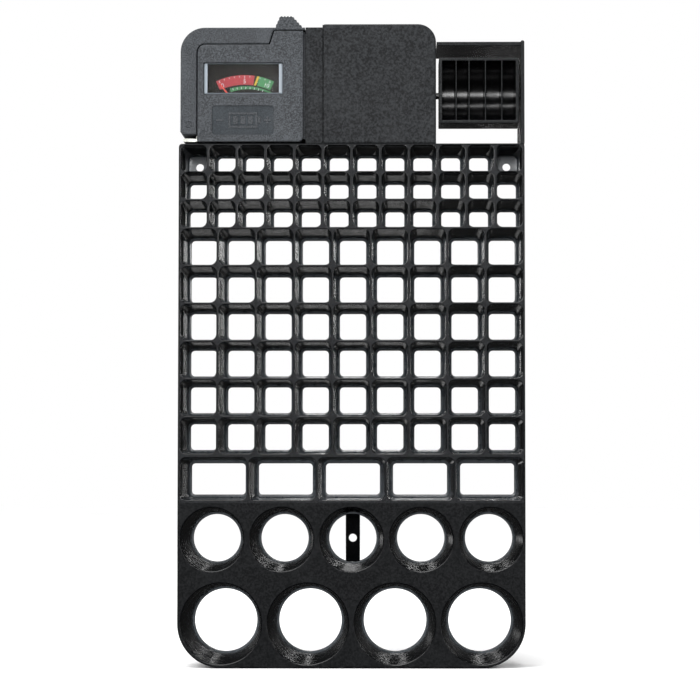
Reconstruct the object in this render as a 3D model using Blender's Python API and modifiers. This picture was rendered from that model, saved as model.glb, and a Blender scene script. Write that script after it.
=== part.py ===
"""Wall battery organiser with a docked battery tester.

Metres, +Z up.  X runs across the tray, the open front faces -Y and the back edges lie in the plane
Y = 0, which goes against the wall.  Z = 0 is the tray's bottom edge.
Run with: blender --background --python part.py
"""

import math

import bmesh
import bpy
from mathutils import Matrix, Vector

MM = 0.001
GAP = 0.3 * MM

# ---------------------------------------------------------------- tray, driving sizes
TRAY_WIDTH = 178.0 * MM
TRAY_DEPTH = 34.0 * MM
SKIRT = 1.5 * MM
DECK = 2.0 * MM
FLOOR = 2.0 * MM
CUP_WALL = 1.2 * MM
RIM_WEB = 3.0 * MM
EDGE_WALL = 1.15 * MM

D_PITCH = 44.4 * MM
D_RIM = 41.2 * MM
D_SEAT = 35.2 * MM
D_HOLE = 32.8 * MM
D_COUNT = 4

C_PITCH = 35.7 * MM
C_RIM = 32.4 * MM
C_SEAT = 27.2 * MM
C_HOLE = 24.9 * MM
C_COUNT = 5
C_CENTRE_Z = 65.4 * MM
SCREW_BAR = 7.5 * MM
SCREW_HOLE = 4.2 * MM

NINE_VOLT_COUNT = 5
NINE_VOLT_RIM = (34.4 * MM, 21.8 * MM)
NINE_VOLT_SEAT = (29.8 * MM, 18.6 * MM)
NINE_VOLT_HOLE = (28.4 * MM, 16.4 * MM)

AA_COLUMNS = 9
AA_ROWS = 6
AA_PITCH_Z = 19.42 * MM
AA_RIM = (18.5 * MM, 18.45 * MM)
AA_SEAT = (15.0 * MM, 15.0 * MM)
AA_HOLE = (13.8 * MM, 13.5 * MM)

AAA_COLUMNS = 12
AAA_ROWS = 3
AAA_PITCH_Z = 14.6 * MM
AAA_RIM = (13.3 * MM, 13.6 * MM)
AAA_SEAT = (11.0 * MM, 11.0 * MM)
AAA_HOLE = (9.9 * MM, 9.9 * MM)

CELL_CORNER = 3.0 * MM
HOLE_CORNER = 1.6 * MM
CORNER_STEPS = 1

D_ROW_TOP = 46.1 * MM
C_ROW_TOP = 84.0 * MM
NINE_VOLT_TOP = 108.65 * MM
AA_TOP = NINE_VOLT_TOP + AA_ROWS * AA_PITCH_Z
AAA_TOP = AA_TOP + AAA_ROWS * AAA_PITCH_Z

# ---------------------------------------------------------------- dock, driving sizes
DOCK_LEFT = -23.85 * MM
DOCK_STEP = -15.1 * MM
DOCK_RIGHT = 43.5 * MM
DOCK_BOTTOM = AAA_TOP + GAP
DOCK_STRIP_TOP = 329.4 * MM
DOCK_PANEL_TOP = 330.8 * MM
DOCK_STRIP_FRONT = -32.6 * MM
DOCK_CORNER = 9.4 * MM
DOCK_WALL = 1.6 * MM
POCKET_BOTTOM = 271.0 * MM
POCKET_TOP = 327.8 * MM
POCKET_FRONT = -31.2 * MM
POCKET_BACK = -8.8 * MM
POCKET_END = 32.8 * MM

# ---------------------------------------------------------------- button-cell bay
BAY_TOP = 321.4 * MM
BAY_BAR = 2.0 * MM
POST_TOP = 322.2 * MM
POST_WIDTH = 1.9 * MM
BIN_LEFT = 45.0 * MM
BIN_RIGHT = 86.2 * MM
BIN_BOTTOM = 279.4 * MM
BIN_TOP = 313.6 * MM
BIN_FRONT = -32.5 * MM
BIN_DEPTH = 21.0 * MM
BIN_LIP = 1.7 * MM
POCKET_RADIUS = 15.4 * MM
SLOT_WIDTHS = (6.8 * MM, 5.9 * MM, 7.7 * MM, 7.7 * MM, 6.7 * MM)
PIN_Y = -22.0 * MM
PIN_Z = 295.4 * MM
PIN_RADIUS = 1.6 * MM
PIN_REACH = 1.35 * MM

# ---------------------------------------------------------------- tester, driving sizes
HEAD_LEFT = -79.5 * MM
HEAD_RIGHT = -25.0 * MM
HEAD_BOTTOM = 269.9 * MM
HEAD_SHOULDER = 320.25 * MM
HEAD_TOP = 327.35 * MM
HEAD_FRONT = -34.0 * MM
HEAD_BACK = -8.0 * MM
NECK_X = -42.2 * MM
NECK_RUN = 2.3 * MM
HEAD_CORNER = 3.9 * MM
TONGUE_RIGHT = 32.3 * MM
TONGUE_BOTTOM = 271.5 * MM
TONGUE_TOP = 327.35 * MM
TONGUE_FRONT = -30.7 * MM
TONGUE_BACK = -9.3 * MM
SHELL_WALL = 1.6 * MM
PARTING_Y = -20.0 * MM
SCREW_SPOTS = [(x * MM, z * MM) for x, z in ((-74, 275), (-30, 275), (27, 277), (27, 309))]
BOSS_RADIUS = 2.8 * MM
BOSS_SIDES = 10
FRONT_BORE = 7.5 * MM
SCREW_RADIUS = 1.2 * MM
SCREW_HEAD_RADIUS = 2.3 * MM
SCREW_HEAD = 1.4 * MM
SCREW_HEAD_Y = -10.9 * MM
SCREW_LENGTH = 14.2 * MM
NINE_VOLT_PADS = (-58.0 * MM, -45.3 * MM)
NINE_VOLT_PAD_Z = 305.0 * MM
NINE_VOLT_PAD_RADIUS = 3.6 * MM
NINE_VOLT_RECESS = 0.8 * MM
CONTACT_RECESS = 0.9 * MM
BUTTON_CONTACT_Z = (271.5 * MM, 274.7 * MM)
CELL_CONTACT_Z = (279.5 * MM, 303.5 * MM)
CONTACT_Y = (-25.0 * MM, -15.0 * MM)

ARM_LEFT = -88.3 * MM
ARM_LIMB = 8.35 * MM
ARM_TOP = 329.1 * MM
ARM_BOTTOM = 273.8 * MM
ARM_FRONT = -33.7 * MM
ARM_BACK = -10.0 * MM
ARM_CORNER = 12.6 * MM
SEAM = 0.45 * MM
TAB_LEFT = -39.4 * MM
TAB_TOP = 335.0 * MM
RAIL_END = 30.2 * MM
RAIL_Z = (320.9 * MM, 325.3 * MM)
RAIL_Y = (-24.0 * MM, -16.0 * MM)
RAIL_START = -46.0 * MM
RAIL_ROOM = 0.4 * MM
ARM_WALL = 1.7 * MM
STRIP_THICK = 0.45 * MM
STRIP_TOP = 300.0 * MM
STRIP_Y = (-28.0 * MM, -14.0 * MM)

WINDOW_X = (-76.4 * MM, -35.4 * MM)
WINDOW_Z = (294.4 * MM, 310.9 * MM)
PLAQUE_X = (-72.0 * MM, -40.0 * MM)
PLAQUE_Z = (273.4 * MM, 288.6 * MM)
PLAQUE_DEPTH = 0.6 * MM
WINDOW_STEP = 1.4 * MM
WINDOW_SEAT_Y = -32.2 * MM
WINDOW_Y = (-33.6 * MM, -32.5 * MM)
METER_X = -55.4 * MM
METER_Z = 284.1 * MM
NEEDLE_REST_DEG = 38.4
NEEDLE_LENGTH = 21.0 * MM
CORE_RADIUS = 4.5 * MM
COIL_REACH = 6.6 * MM
YOKE_INNER = 7.4 * MM
YOKE_OUTER = 9.4 * MM
METER_Y = (-25.0 * MM, -17.0 * MM)
COIL_Y = (-27.0 * MM, -15.0 * MM)
COIL_WIRE = 1.4 * MM
COIL_HALF = 1.0 * MM
CORE_HOLDER = 0.8 * MM
FRONT_SHAFT_Y = (-31.7 * MM, -27.3 * MM)
REAR_SHAFT_Y = (-14.7 * MM, -12.1 * MM)
FRONT_BRIDGE_Y = (-29.0 * MM, -28.2 * MM)
REAR_BRIDGE_Y = (-13.9 * MM, -13.1 * MM)
BRIDGE_HALF = (12.0 * MM, 2.4 * MM)
PILLAR_X = 10.6 * MM
PILLAR_HALF = (1.4 * MM, 2.0 * MM)
NEEDLE_Y = (-31.4 * MM, -30.9 * MM)
DIAL_X = (-77.0 * MM, -33.8 * MM)
DIAL_Y = (-30.0 * MM, -29.4 * MM)
DIAL_Z = (290.2 * MM, 316.0 * MM)
DIAL_NOTCH_RADIUS = 8.0 * MM
METER_WELL_Y = -31.9 * MM
METER_WELL_BOTTOM = 279.0 * MM
SHAFT_RADIUS = 0.6 * MM

# ---------------------------------------------------------------- scene helpers


def clear_scene():
    for item in list(bpy.data.objects):
        bpy.data.objects.remove(item, do_unlink=True)


def new_collection(name):
    group = bpy.data.collections.new(name)
    bpy.context.scene.collection.children.link(group)
    return group


clear_scene()
PARTS = new_collection("battery_tester_organiser")
CUTTERS = new_collection("cutters")


def material(name, colour, roughness, metallic=0.0, alpha=1.0):
    made = bpy.data.materials.new(name)
    made.use_nodes = True
    shader = made.node_tree.nodes["Principled BSDF"]
    shader.inputs["Base Color"].default_value = (*colour, 1.0)
    shader.inputs["Roughness"].default_value = roughness
    shader.inputs["Metallic"].default_value = metallic
    shader.inputs["Alpha"].default_value = alpha
    return made


TRAY_BLACK = material("tray_black", (0.018, 0.019, 0.021), 0.35)
DOCK_BLACK = material("dock_black", (0.028, 0.030, 0.033), 0.6)
BIN_BLACK = material("bin_black", (0.008, 0.008, 0.009), 0.15)
TESTER_GREY = material("tester_grey", (0.085, 0.092, 0.100), 0.55)
CLEAR_LENS = material("clear_lens", (0.9, 0.93, 0.95), 0.05, alpha=0.3)
DIAL_FACE = material("dial_face", (0.03, 0.03, 0.03), 0.5)
NEEDLE_RED = material("needle_red", (0.8, 0.05, 0.04), 0.4)
STEEL = material("contact_steel", (0.62, 0.62, 0.60), 0.3, metallic=1.0)
MAGNET_GREY = material("magnet_grey", (0.10, 0.10, 0.11), 0.5, metallic=0.8)
COPPER = material("coil_copper", (0.72, 0.35, 0.18), 0.35, metallic=1.0)
BRASS = material("brass", (0.78, 0.60, 0.28), 0.3, metallic=1.0)
BOARD_TAN = material("board_tan", (0.42, 0.27, 0.12), 0.6)
RESISTOR_BLUE = material("resistor_blue", (0.25, 0.42, 0.55), 0.4)


def islands(bm):
    """The connected groups of faces."""
    waiting = set(bm.faces)
    while waiting:
        group, edge = set(), [waiting.pop()]
        while edge:
            face = edge.pop()
            group.add(face)
            near = {other for side in face.edges for other in side.link_faces} & waiting
            waiting -= near
            edge.extend(near)
        yield group


def signed_volume(faces):
    total = 0.0
    for face in faces:
        first, *rest = [vert.co for vert in face.verts]
        total += sum(first.dot(a.cross(b)) for a, b in zip(rest, rest[1:]))
    return total


def object_from(bm, name, look, group=None):
    """Turns a bmesh into an object with its faces pointing out."""
    bm.normal_update()
    bmesh.ops.recalc_face_normals(bm, faces=bm.faces)
    for group_faces in list(islands(bm)):
        if signed_volume(group_faces) < 0:
            bmesh.ops.reverse_faces(bm, faces=list(group_faces))
    mesh = bpy.data.meshes.new(name)
    bm.to_mesh(mesh)
    bm.free()
    made = bpy.data.objects.new(name, mesh)
    if look is not None:
        mesh.materials.append(look)
    (group or PARTS).objects.link(made)
    return made


def cutter(bm, name):
    made = object_from(bm, name, None, CUTTERS)
    made.hide_render = True
    made.display_type = "WIRE"
    return made


def joint_axis(name, spot):
    """An empty on a joint's axis, for the pieces that move with it."""
    axis = bpy.data.objects.new(name, None)
    axis.location = spot
    CUTTERS.objects.link(axis)
    return axis


def hang_on(axis, *names):
    """Parents pieces to a joint's empty without moving them."""
    for name in names:
        piece = bpy.data.objects[name]
        piece.parent = axis
        piece.matrix_parent_inverse = Matrix.Translation(-axis.location)


def boolean(target, tool, operation="DIFFERENCE"):
    step = target.modifiers.new(operation.lower(), "BOOLEAN")
    step.operation = operation
    step.solver = "EXACT"
    step.object = tool


# ---------------------------------------------------------------- shape helpers


def add_box(bm, low, high):
    size = [h - l for l, h in zip(low, high)]
    centre = [(l + h) / 2 for l, h in zip(low, high)]
    place = Matrix.Translation(centre) @ Matrix.Diagonal((*size, 1.0))
    bmesh.ops.create_cube(bm, size=1.0, matrix=place)


def add_loft(bm, front, y_front, back, y_back):
    """A closed solid between two outlines of equally many (x, z) points, in planes across Y."""
    near = [bm.verts.new((x, y_front, z)) for x, z in front]
    grown = bmesh.ops.extrude_face_region(bm, geom=[bm.faces.new(near)], use_keep_orig=True)
    far = [item for item in grown["geom"] if isinstance(item, bmesh.types.BMVert)]
    partner = {(v.co.x, v.co.z): v for v in far}
    moves = [(partner[(v.co.x, v.co.z)], point) for v, point in zip(near, back)]
    for vert, (x, z) in moves:
        vert.co = Vector((x, y_back, z))


def add_prism(bm, outline, y_front, y_back):
    add_loft(bm, outline, y_front, outline, y_back)


def add_prism_x(bm, outline, x_low, x_high):
    """A prism along X from (y, z) points."""
    face = bm.faces.new([bm.verts.new((x_low, y, z)) for y, z in outline])
    grown = bmesh.ops.extrude_face_region(bm, geom=[face], use_keep_orig=True)
    far = [item for item in grown["geom"] if isinstance(item, bmesh.types.BMVert)]
    bmesh.ops.translate(bm, verts=far, vec=(x_high - x_low, 0, 0))


def add_prism_z(bm, outline, z_low, z_high):
    """A prism along Z from (x, y) points."""
    face = bm.faces.new([bm.verts.new((x, y, z_low)) for x, y in outline])
    grown = bmesh.ops.extrude_face_region(bm, geom=[face], use_keep_orig=True)
    far = [item for item in grown["geom"] if isinstance(item, bmesh.types.BMVert)]
    bmesh.ops.translate(bm, verts=far, vec=(0, 0, z_high - z_low))


def add_cylinder(bm, axis, centre, radius, length, sides=16, far_radius=None):
    """A cylinder or cone centred at centre, along the axis named X, Y or Z."""
    turn = {
        "X": Matrix.Rotation(math.pi / 2, 4, "Y"),
        "Y": Matrix.Rotation(-math.pi / 2, 4, "X"),
        "Z": Matrix.Identity(4),
    }[axis]
    bmesh.ops.create_cone(
        bm,
        cap_ends=True,
        segments=sides,
        radius1=radius,
        radius2=radius if far_radius is None else far_radius,
        depth=length,
        matrix=Matrix.Translation(centre) @ turn,
    )


def arc(cx, cz, radius, start_deg, end_deg, steps):
    angles = [math.radians(start_deg + (end_deg - start_deg) * i / steps) for i in range(steps + 1)]
    return [(cx + radius * math.cos(a), cz + radius * math.sin(a)) for a in angles]


def rounded_rect(cx, cz, width, height, corner, steps=CORNER_STEPS):
    right, up = width / 2 - corner, height / 2 - corner
    points = []
    for quarter, (sx, sz) in enumerate(((1, 1), (-1, 1), (-1, -1), (1, -1))):
        points += arc(cx + sx * right, cz + sz * up, corner, 90 * quarter, 90 * quarter + 90, steps)
    return points


def ring(cx, cz, diameter, sides=24):
    return arc(cx, cz, diameter / 2, 7.5, 367.5 - 360 / sides, sides - 1)


# ---------------------------------------------------------------- tray rows


def spread(count, pitch):
    """Centres of count cells at a pitch, about X = 0."""
    return [(i - (count - 1) / 2) * pitch for i in range(count)]


def add_cell(bm, cx, cz, rim, seat, hole):
    """The hollow of one cell: a tapered well and the hole in its floor."""
    start, floor_y, back = -TRAY_DEPTH, -FLOOR, 0.0
    over = 1.0 * MM
    slope = (rim[0] - seat[0]) / 2 / (floor_y - start)
    widened = tuple(side + 2 * slope * over for side in rim)
    well_front = rounded_rect(cx, cz, *widened, CELL_CORNER)
    well_back = rounded_rect(cx, cz, *seat, HOLE_CORNER)
    add_loft(bm, well_front, start - over, well_back, floor_y)
    if hole:
        throat = rounded_rect(cx, cz, *hole, HOLE_CORNER)
        add_prism(bm, throat, floor_y - over / 2, back + over)


def row_block(name, z_low, z_high, look):
    bm = bmesh.new()
    half = TRAY_WIDTH / 2
    add_box(bm, (-half, -TRAY_DEPTH, z_low + GAP / 2), (half, 0, z_high - GAP / 2))
    return object_from(bm, name, look)


def cut_back_grooves(block, centres, pitch, seat, z_low, z_high):
    """Grooves from the back, which leave each cell as a thin tapered box joined only at the rim."""
    front = -TRAY_DEPTH + RIM_WEB
    wide = pitch - seat[0] - 2 * CUP_WALL
    bm = bmesh.new()
    for left, right in zip(centres, centres[1:]):
        middle = (left + right) / 2
        wedge = [(middle, front), (middle + wide / 2, MM), (middle - wide / 2, MM)]
        add_prism_z(bm, wedge, z_low - MM, z_high + MM)
    boolean(block, cutter(bm, block.name + "_column_grooves"))
    spare = (z_high - z_low - seat[1]) / 2 - CUP_WALL
    end = TRAY_WIDTH / 2 - SKIRT
    bm = bmesh.new()
    for edge, inward in ((z_low, 1), (z_high, -1)):
        outside = edge - inward * MM
        wedge = [(front, edge), (MM, edge + inward * spare), (MM, outside), (front, outside)]
        add_prism_x(bm, wedge, -end, end)
    boolean(block, cutter(bm, block.name + "_row_grooves"))


def cell_row(name, z_low, z_high, columns, sizes, closed=()):
    """One row of rectangular cells. Columns in closed keep their floor, with a screw hole in it."""
    rim, seat, hole = sizes
    pitch = (TRAY_WIDTH - 2 * EDGE_WALL - rim[0]) / (columns - 1)
    centres, cz = spread(columns, pitch), (z_low + z_high) / 2
    block = row_block(name, z_low, z_high, TRAY_BLACK)
    wells, throats = bmesh.new(), bmesh.new()
    for column, cx in enumerate(centres):
        add_cell(wells, cx, cz, rim, seat, None)
        if column in closed:
            add_cylinder(throats, "Y", (cx, -FLOOR / 2, cz), SCREW_HOLE / 2, FLOOR * 3, 12)
        else:
            add_prism(throats, rounded_rect(cx, cz, *hole, HOLE_CORNER), -FLOOR - MM, MM)
    boolean(block, cutter(wells, name + "_wells"))
    boolean(block, cutter(throats, name + "_holes"))
    cut_back_grooves(block, centres, pitch, seat, z_low, z_high)
    return block


def add_cup(bm, cx, cz, rim, seat, y_front, y_back):
    """A cone between the rim's diameter and the seat's."""
    sides = 24
    add_loft(bm, ring(cx, cz, rim, sides), y_front, ring(cx, cz, seat, sides), y_back)


def cup_row(plate, centres, cz, rim, seat, hole):
    """Adds round tapered cups behind a deck plate and opens them through it."""
    name = plate.name
    outer, wells, throats = bmesh.new(), bmesh.new(), bmesh.new()
    grow = 2 * CUP_WALL
    slope = (rim - seat) / (TRAY_DEPTH - FLOOR)
    for cx in centres:
        tube_front = -TRAY_DEPTH + DECK / 2
        add_cup(outer, cx, cz, rim + grow - slope * DECK / 2, seat + grow - slope * FLOOR, tube_front, 0)
        add_cup(wells, cx, cz, rim + slope * MM, seat, -TRAY_DEPTH - MM, -FLOOR)
        add_prism(throats, ring(cx, cz, hole), -FLOOR - MM, MM)
    boolean(plate, cutter(outer, name + "_cups"), "UNION")
    boolean(plate, cutter(wells, name + "_wells"))
    boolean(plate, cutter(throats, name + "_holes"))


def make_c_row():
    z_low, z_high = D_ROW_TOP, C_ROW_TOP
    plate = row_block("c_row", z_low, z_high, TRAY_BLACK)
    bm = bmesh.new()
    inside = TRAY_WIDTH / 2 - SKIRT
    add_box(bm, (-inside, -TRAY_DEPTH + DECK, z_low - MM), (inside, MM, z_high + MM))
    boolean(plate, cutter(bm, "c_row_pocket"))
    cup_row(plate, spread(C_COUNT, C_PITCH), C_CENTRE_Z, C_RIM, C_SEAT, C_HOLE)
    bar = bmesh.new()
    half, reach = SCREW_BAR / 2, C_HOLE / 2 + 0.6 * MM
    add_box(bar, (-half, -FLOOR, C_CENTRE_Z - reach), (half, 0, C_CENTRE_Z + reach))
    boolean(plate, cutter(bar, "screw_bar"), "UNION")
    hole = bmesh.new()
    add_cylinder(hole, "Y", (0, -FLOOR / 2, C_CENTRE_Z), SCREW_HOLE / 2, FLOOR * 3, 12)
    boolean(plate, cutter(hole, "screw_bar_hole"))


def tray_foot(inset, top):
    """The outline of the bottom of the tray, with its two round corners, drawn in by inset."""
    edge = TRAY_WIDTH / 2 - D_PITCH * (D_COUNT - 1) / 2
    radius = edge - inset
    across = TRAY_WIDTH / 2 - edge
    left = arc(-across, edge, radius, 180, 270, 6)
    right = arc(across, edge, radius, 270, 360, 6)
    half = TRAY_WIDTH / 2 - inset
    return [(-half, top), *left, *right, (half, top)]


def make_d_row():
    top = D_ROW_TOP - GAP / 2
    bm = bmesh.new()
    add_prism(bm, tray_foot(0, top), -TRAY_DEPTH, 0)
    plate = object_from(bm, "d_row", TRAY_BLACK)
    pocket = bmesh.new()
    add_prism(pocket, tray_foot(SKIRT, top + MM), -TRAY_DEPTH + DECK, MM)
    boolean(plate, cutter(pocket, "d_row_pocket"))
    centre_z = TRAY_WIDTH / 2 - D_PITCH * (D_COUNT - 1) / 2
    cup_row(plate, spread(D_COUNT, D_PITCH), centre_z, D_RIM, D_SEAT, D_HOLE)


def make_tray_rows():
    make_d_row()
    make_c_row()
    nine_volt = (NINE_VOLT_RIM, NINE_VOLT_SEAT, NINE_VOLT_HOLE)
    cell_row("nine_volt_row", C_ROW_TOP, NINE_VOLT_TOP, NINE_VOLT_COUNT, nine_volt)
    for row in range(AA_ROWS):
        top = AA_TOP - row * AA_PITCH_Z
        cell_row(f"aa_row_{row + 1}", top - AA_PITCH_Z, top, AA_COLUMNS, (AA_RIM, AA_SEAT, AA_HOLE))
    for row in range(AAA_ROWS):
        top = AAA_TOP - row * AAA_PITCH_Z
        screw_cells = (0, AAA_COLUMNS - 1) if row == 0 else ()
        sizes = (AAA_RIM, AAA_SEAT, AAA_HOLE)
        cell_row(f"aaa_row_{row + 1}", top - AAA_PITCH_Z, top, AAA_COLUMNS, sizes, screw_cells)


# ---------------------------------------------------------------- dock and bay


def dock_outline(left, right, top, corner):
    """A panel outline with a round top right corner."""
    round_corner = arc(right - corner, top - corner, corner, 0, 90, 6)
    return [(left, DOCK_BOTTOM), (right, DOCK_BOTTOM), *round_corner, (left, top)]


def make_dock():
    bm = bmesh.new()
    panel = dock_outline(DOCK_STEP, DOCK_RIGHT, DOCK_PANEL_TOP, DOCK_CORNER)
    add_prism(bm, panel, -TRAY_DEPTH, 0)
    dock = object_from(bm, "tester_dock", DOCK_BLACK)
    strip = bmesh.new()
    add_box(strip, (DOCK_LEFT, DOCK_STRIP_FRONT, DOCK_BOTTOM), (DOCK_STEP + MM, 0, DOCK_STRIP_TOP))
    boolean(dock, cutter(strip, "dock_strip"), "UNION")
    pocket = bmesh.new()
    mouth = DOCK_LEFT - MM
    add_box(pocket, (mouth, POCKET_FRONT, POCKET_BOTTOM), (POCKET_END, POCKET_BACK, POCKET_TOP))
    rear = POCKET_BACK + DOCK_WALL
    add_box(pocket, (mouth, rear, POCKET_BOTTOM), (POCKET_END, MM, POCKET_TOP))
    boolean(dock, cutter(pocket, "dock_pocket"))
    hollow = bmesh.new()
    left, right = POCKET_END + DOCK_WALL, DOCK_RIGHT - DOCK_WALL
    inner = dock_outline(left, right, DOCK_PANEL_TOP - DOCK_WALL, right - left - GAP)
    raised = [(x, max(z, POCKET_BOTTOM)) for x, z in inner]
    add_prism(hollow, raised, -TRAY_DEPTH + DOCK_WALL, MM)
    boolean(dock, cutter(hollow, "dock_hollow"))
    pivot = bmesh.new()
    add_cylinder(pivot, "X", (DOCK_RIGHT, PIN_Y, PIN_Z), PIN_RADIUS + GAP, 6 * MM)
    boolean(dock, cutter(pivot, "dock_pivot_hole"))


def make_bay_frame():
    right = TRAY_WIDTH / 2
    left = DOCK_RIGHT + GAP
    bm = bmesh.new()
    post_left = right - POST_WIDTH
    outline = [
        (left, BAY_TOP - BAY_BAR),
        (post_left, BAY_TOP - BAY_BAR),
        (post_left, DOCK_BOTTOM),
        (right, DOCK_BOTTOM),
        *arc(right - POST_WIDTH / 2, POST_TOP - POST_WIDTH / 2, POST_WIDTH / 2, 0, 180, 4),
        (post_left, BAY_TOP),
        (left, BAY_TOP),
    ]
    add_prism(bm, outline, -TRAY_DEPTH, 0)
    frame = object_from(bm, "bay_frame", DOCK_BLACK)
    pivot = bmesh.new()
    add_cylinder(pivot, "X", (right - POST_WIDTH / 2, PIN_Y, PIN_Z), PIN_RADIUS + GAP, 4 * MM)
    boolean(frame, cutter(pivot, "bay_pivot_hole"))


def make_bin():
    """The button-cell bin, which swings on a stub pin at each side."""
    bm = bmesh.new()
    back = BIN_FRONT + BIN_DEPTH
    corner = 4.0 * MM
    outline = [
        (BIN_FRONT, BIN_BOTTOM),
        *arc(back - corner, BIN_BOTTOM + corner, corner, 270, 360, 3),
        *arc(back - corner, BIN_TOP - corner, corner, 0, 90, 3),
        (BIN_FRONT, BIN_TOP),
    ]
    add_prism_x(bm, outline, BIN_LEFT, BIN_RIGHT)
    made = object_from(bm, "button_bin", BIN_BLACK)
    pins = bmesh.new()
    for side, outward in ((BIN_LEFT, -1), (BIN_RIGHT, 1)):
        middle = side + outward * (PIN_REACH - MM) / 2
        add_cylinder(pins, "X", (middle, PIN_Y, PIN_Z), PIN_RADIUS, PIN_REACH + MM)
    boolean(made, cutter(pins, "bin_pins"), "UNION")
    slots = bmesh.new()
    spare = BIN_RIGHT - BIN_LEFT - 2 * BIN_LIP - sum(SLOT_WIDTHS)
    separator = spare / (len(SLOT_WIDTHS) - 1)
    x = BIN_LEFT + BIN_LIP
    middle_z = (BIN_BOTTOM + BIN_TOP) / 2
    for width in SLOT_WIDTHS:
        bowl = arc(BIN_FRONT + 2 * MM, middle_z, POCKET_RADIUS, -90, 90, 10)
        front = BIN_FRONT - MM
        add_prism_x(
            slots,
            [(front, middle_z - POCKET_RADIUS), *bowl, (front, middle_z + POCKET_RADIUS)],
            x,
            x + width,
        )
        x += width + separator
    boolean(made, cutter(slots, "bin_slots"))


# ---------------------------------------------------------------- tester shells


def head_outline(inset=0.0):
    """The tester's face under the arm, drawn in by inset."""
    left, right = HEAD_LEFT + inset, HEAD_RIGHT - inset
    shoulder, top = HEAD_SHOULDER - inset, HEAD_TOP - inset
    corner = HEAD_CORNER - inset
    lean = inset * math.tan(math.radians(36))
    return [
        (left, HEAD_BOTTOM + inset),
        (right, HEAD_BOTTOM + inset),
        (right, top),
        (NECK_X + NECK_RUN + lean, top),
        (NECK_X + lean, shoulder),
        *arc(left + corner, shoulder - corner, corner, 90, 180, 4),
    ]


def tongue_box(bm, inset, y_front, y_back):
    start = HEAD_RIGHT - 4 * MM
    low = (start, y_front, TONGUE_BOTTOM + inset)
    add_box(bm, low, (TONGUE_RIGHT - inset, y_back, TONGUE_TOP - inset))



def shell(name, head_y, tongue_y, inside_y):
    """Half of the tester's case: the head and the tongue in one, hollow towards the parting plane."""
    bm = bmesh.new()
    add_prism(bm, head_outline(), *head_y)
    case = object_from(bm, name, TESTER_GREY)
    tongue = bmesh.new()
    tongue_box(tongue, 0, *tongue_y)
    boolean(case, cutter(tongue, name + "_tongue"), "UNION")
    hollow = bmesh.new()
    add_prism(hollow, head_outline(SHELL_WALL), *inside_y)
    boolean(case, cutter(hollow, name + "_head_hollow"))
    bore = bmesh.new()
    tongue_box(bore, SHELL_WALL, *inside_y)
    boolean(case, cutter(bore, name + "_tongue_hollow"))
    return case


def cut_arm_channel(case, y_low, y_high):
    """The opening in the slanted neck that the arm's rail runs through."""
    bm = bmesh.new()
    low = (NECK_X - 3 * MM, y_low, RAIL_Z[0] - RAIL_ROOM)
    add_box(bm, low, (NECK_X + 8 * MM, y_high, RAIL_Z[1] + RAIL_ROOM))
    boolean(case, cutter(bm, case.name + "_rail_slot"))


def cut_contact_recess(case, y_low, y_high):
    bm = bmesh.new()
    for z_low, z_high in (BUTTON_CONTACT_Z, CELL_CONTACT_Z):
        low = (HEAD_LEFT - MM, y_low, z_low - GAP)
        add_box(bm, low, (HEAD_LEFT + CONTACT_RECESS, y_high, z_high + GAP))
    boolean(case, cutter(bm, case.name + "_contact_recess"))


def make_front_shell():
    parting = PARTING_Y - GAP / 2
    inside = TONGUE_FRONT + SHELL_WALL
    case = shell("front_shell", (HEAD_FRONT, parting), (TONGUE_FRONT, parting), (inside, MM))
    cut_arm_channel(case, RAIL_Y[0] - RAIL_ROOM, MM)
    cut_contact_recess(case, CONTACT_Y[0] - GAP, MM)
    for name, step, y_back in (("window_seat", 0.0, WINDOW_SEAT_Y), ("window_opening", WINDOW_STEP, 0.0)):
        opening = bmesh.new()
        low = (WINDOW_X[0] + step, HEAD_FRONT - MM, WINDOW_Z[0] + step / 2)
        add_box(opening, low, (WINDOW_X[1] - step, y_back, WINDOW_Z[1] - step / 2))
        boolean(case, cutter(opening, name))
    sweep = bmesh.new()
    low = (DIAL_X[0] - 0.4 * MM, METER_WELL_Y, METER_WELL_BOTTOM)
    add_box(sweep, low, (DIAL_X[1] + 0.4 * MM, 0, DIAL_Z[1] + 0.4 * MM))
    boolean(case, cutter(sweep, "meter_well"))
    plaque = bmesh.new()
    centre_x, centre_z = sum(PLAQUE_X) / 2, sum(PLAQUE_Z) / 2
    size = (PLAQUE_X[1] - PLAQUE_X[0], PLAQUE_Z[1] - PLAQUE_Z[0])
    outline = rounded_rect(centre_x, centre_z, *size, 1.5 * MM, 2)
    add_prism(plaque, outline, HEAD_FRONT - MM, HEAD_FRONT + PLAQUE_DEPTH)
    boolean(case, cutter(plaque, "plaque_recess"))
    bosses, bores = bmesh.new(), bmesh.new()
    start = inside - SHELL_WALL / 2
    for x, z in SCREW_SPOTS:
        middle = (x, (start + parting) / 2, z)
        add_cylinder(bosses, "Y", middle, BOSS_RADIUS, parting - start, BOSS_SIDES)
        add_cylinder(bores, "Y", (x, parting, z), SCREW_RADIUS + GAP, FRONT_BORE * 2, BOSS_SIDES)
    boolean(case, cutter(bosses, "front_bosses"), "UNION")
    boolean(case, cutter(bores, "front_boss_bores"))


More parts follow.
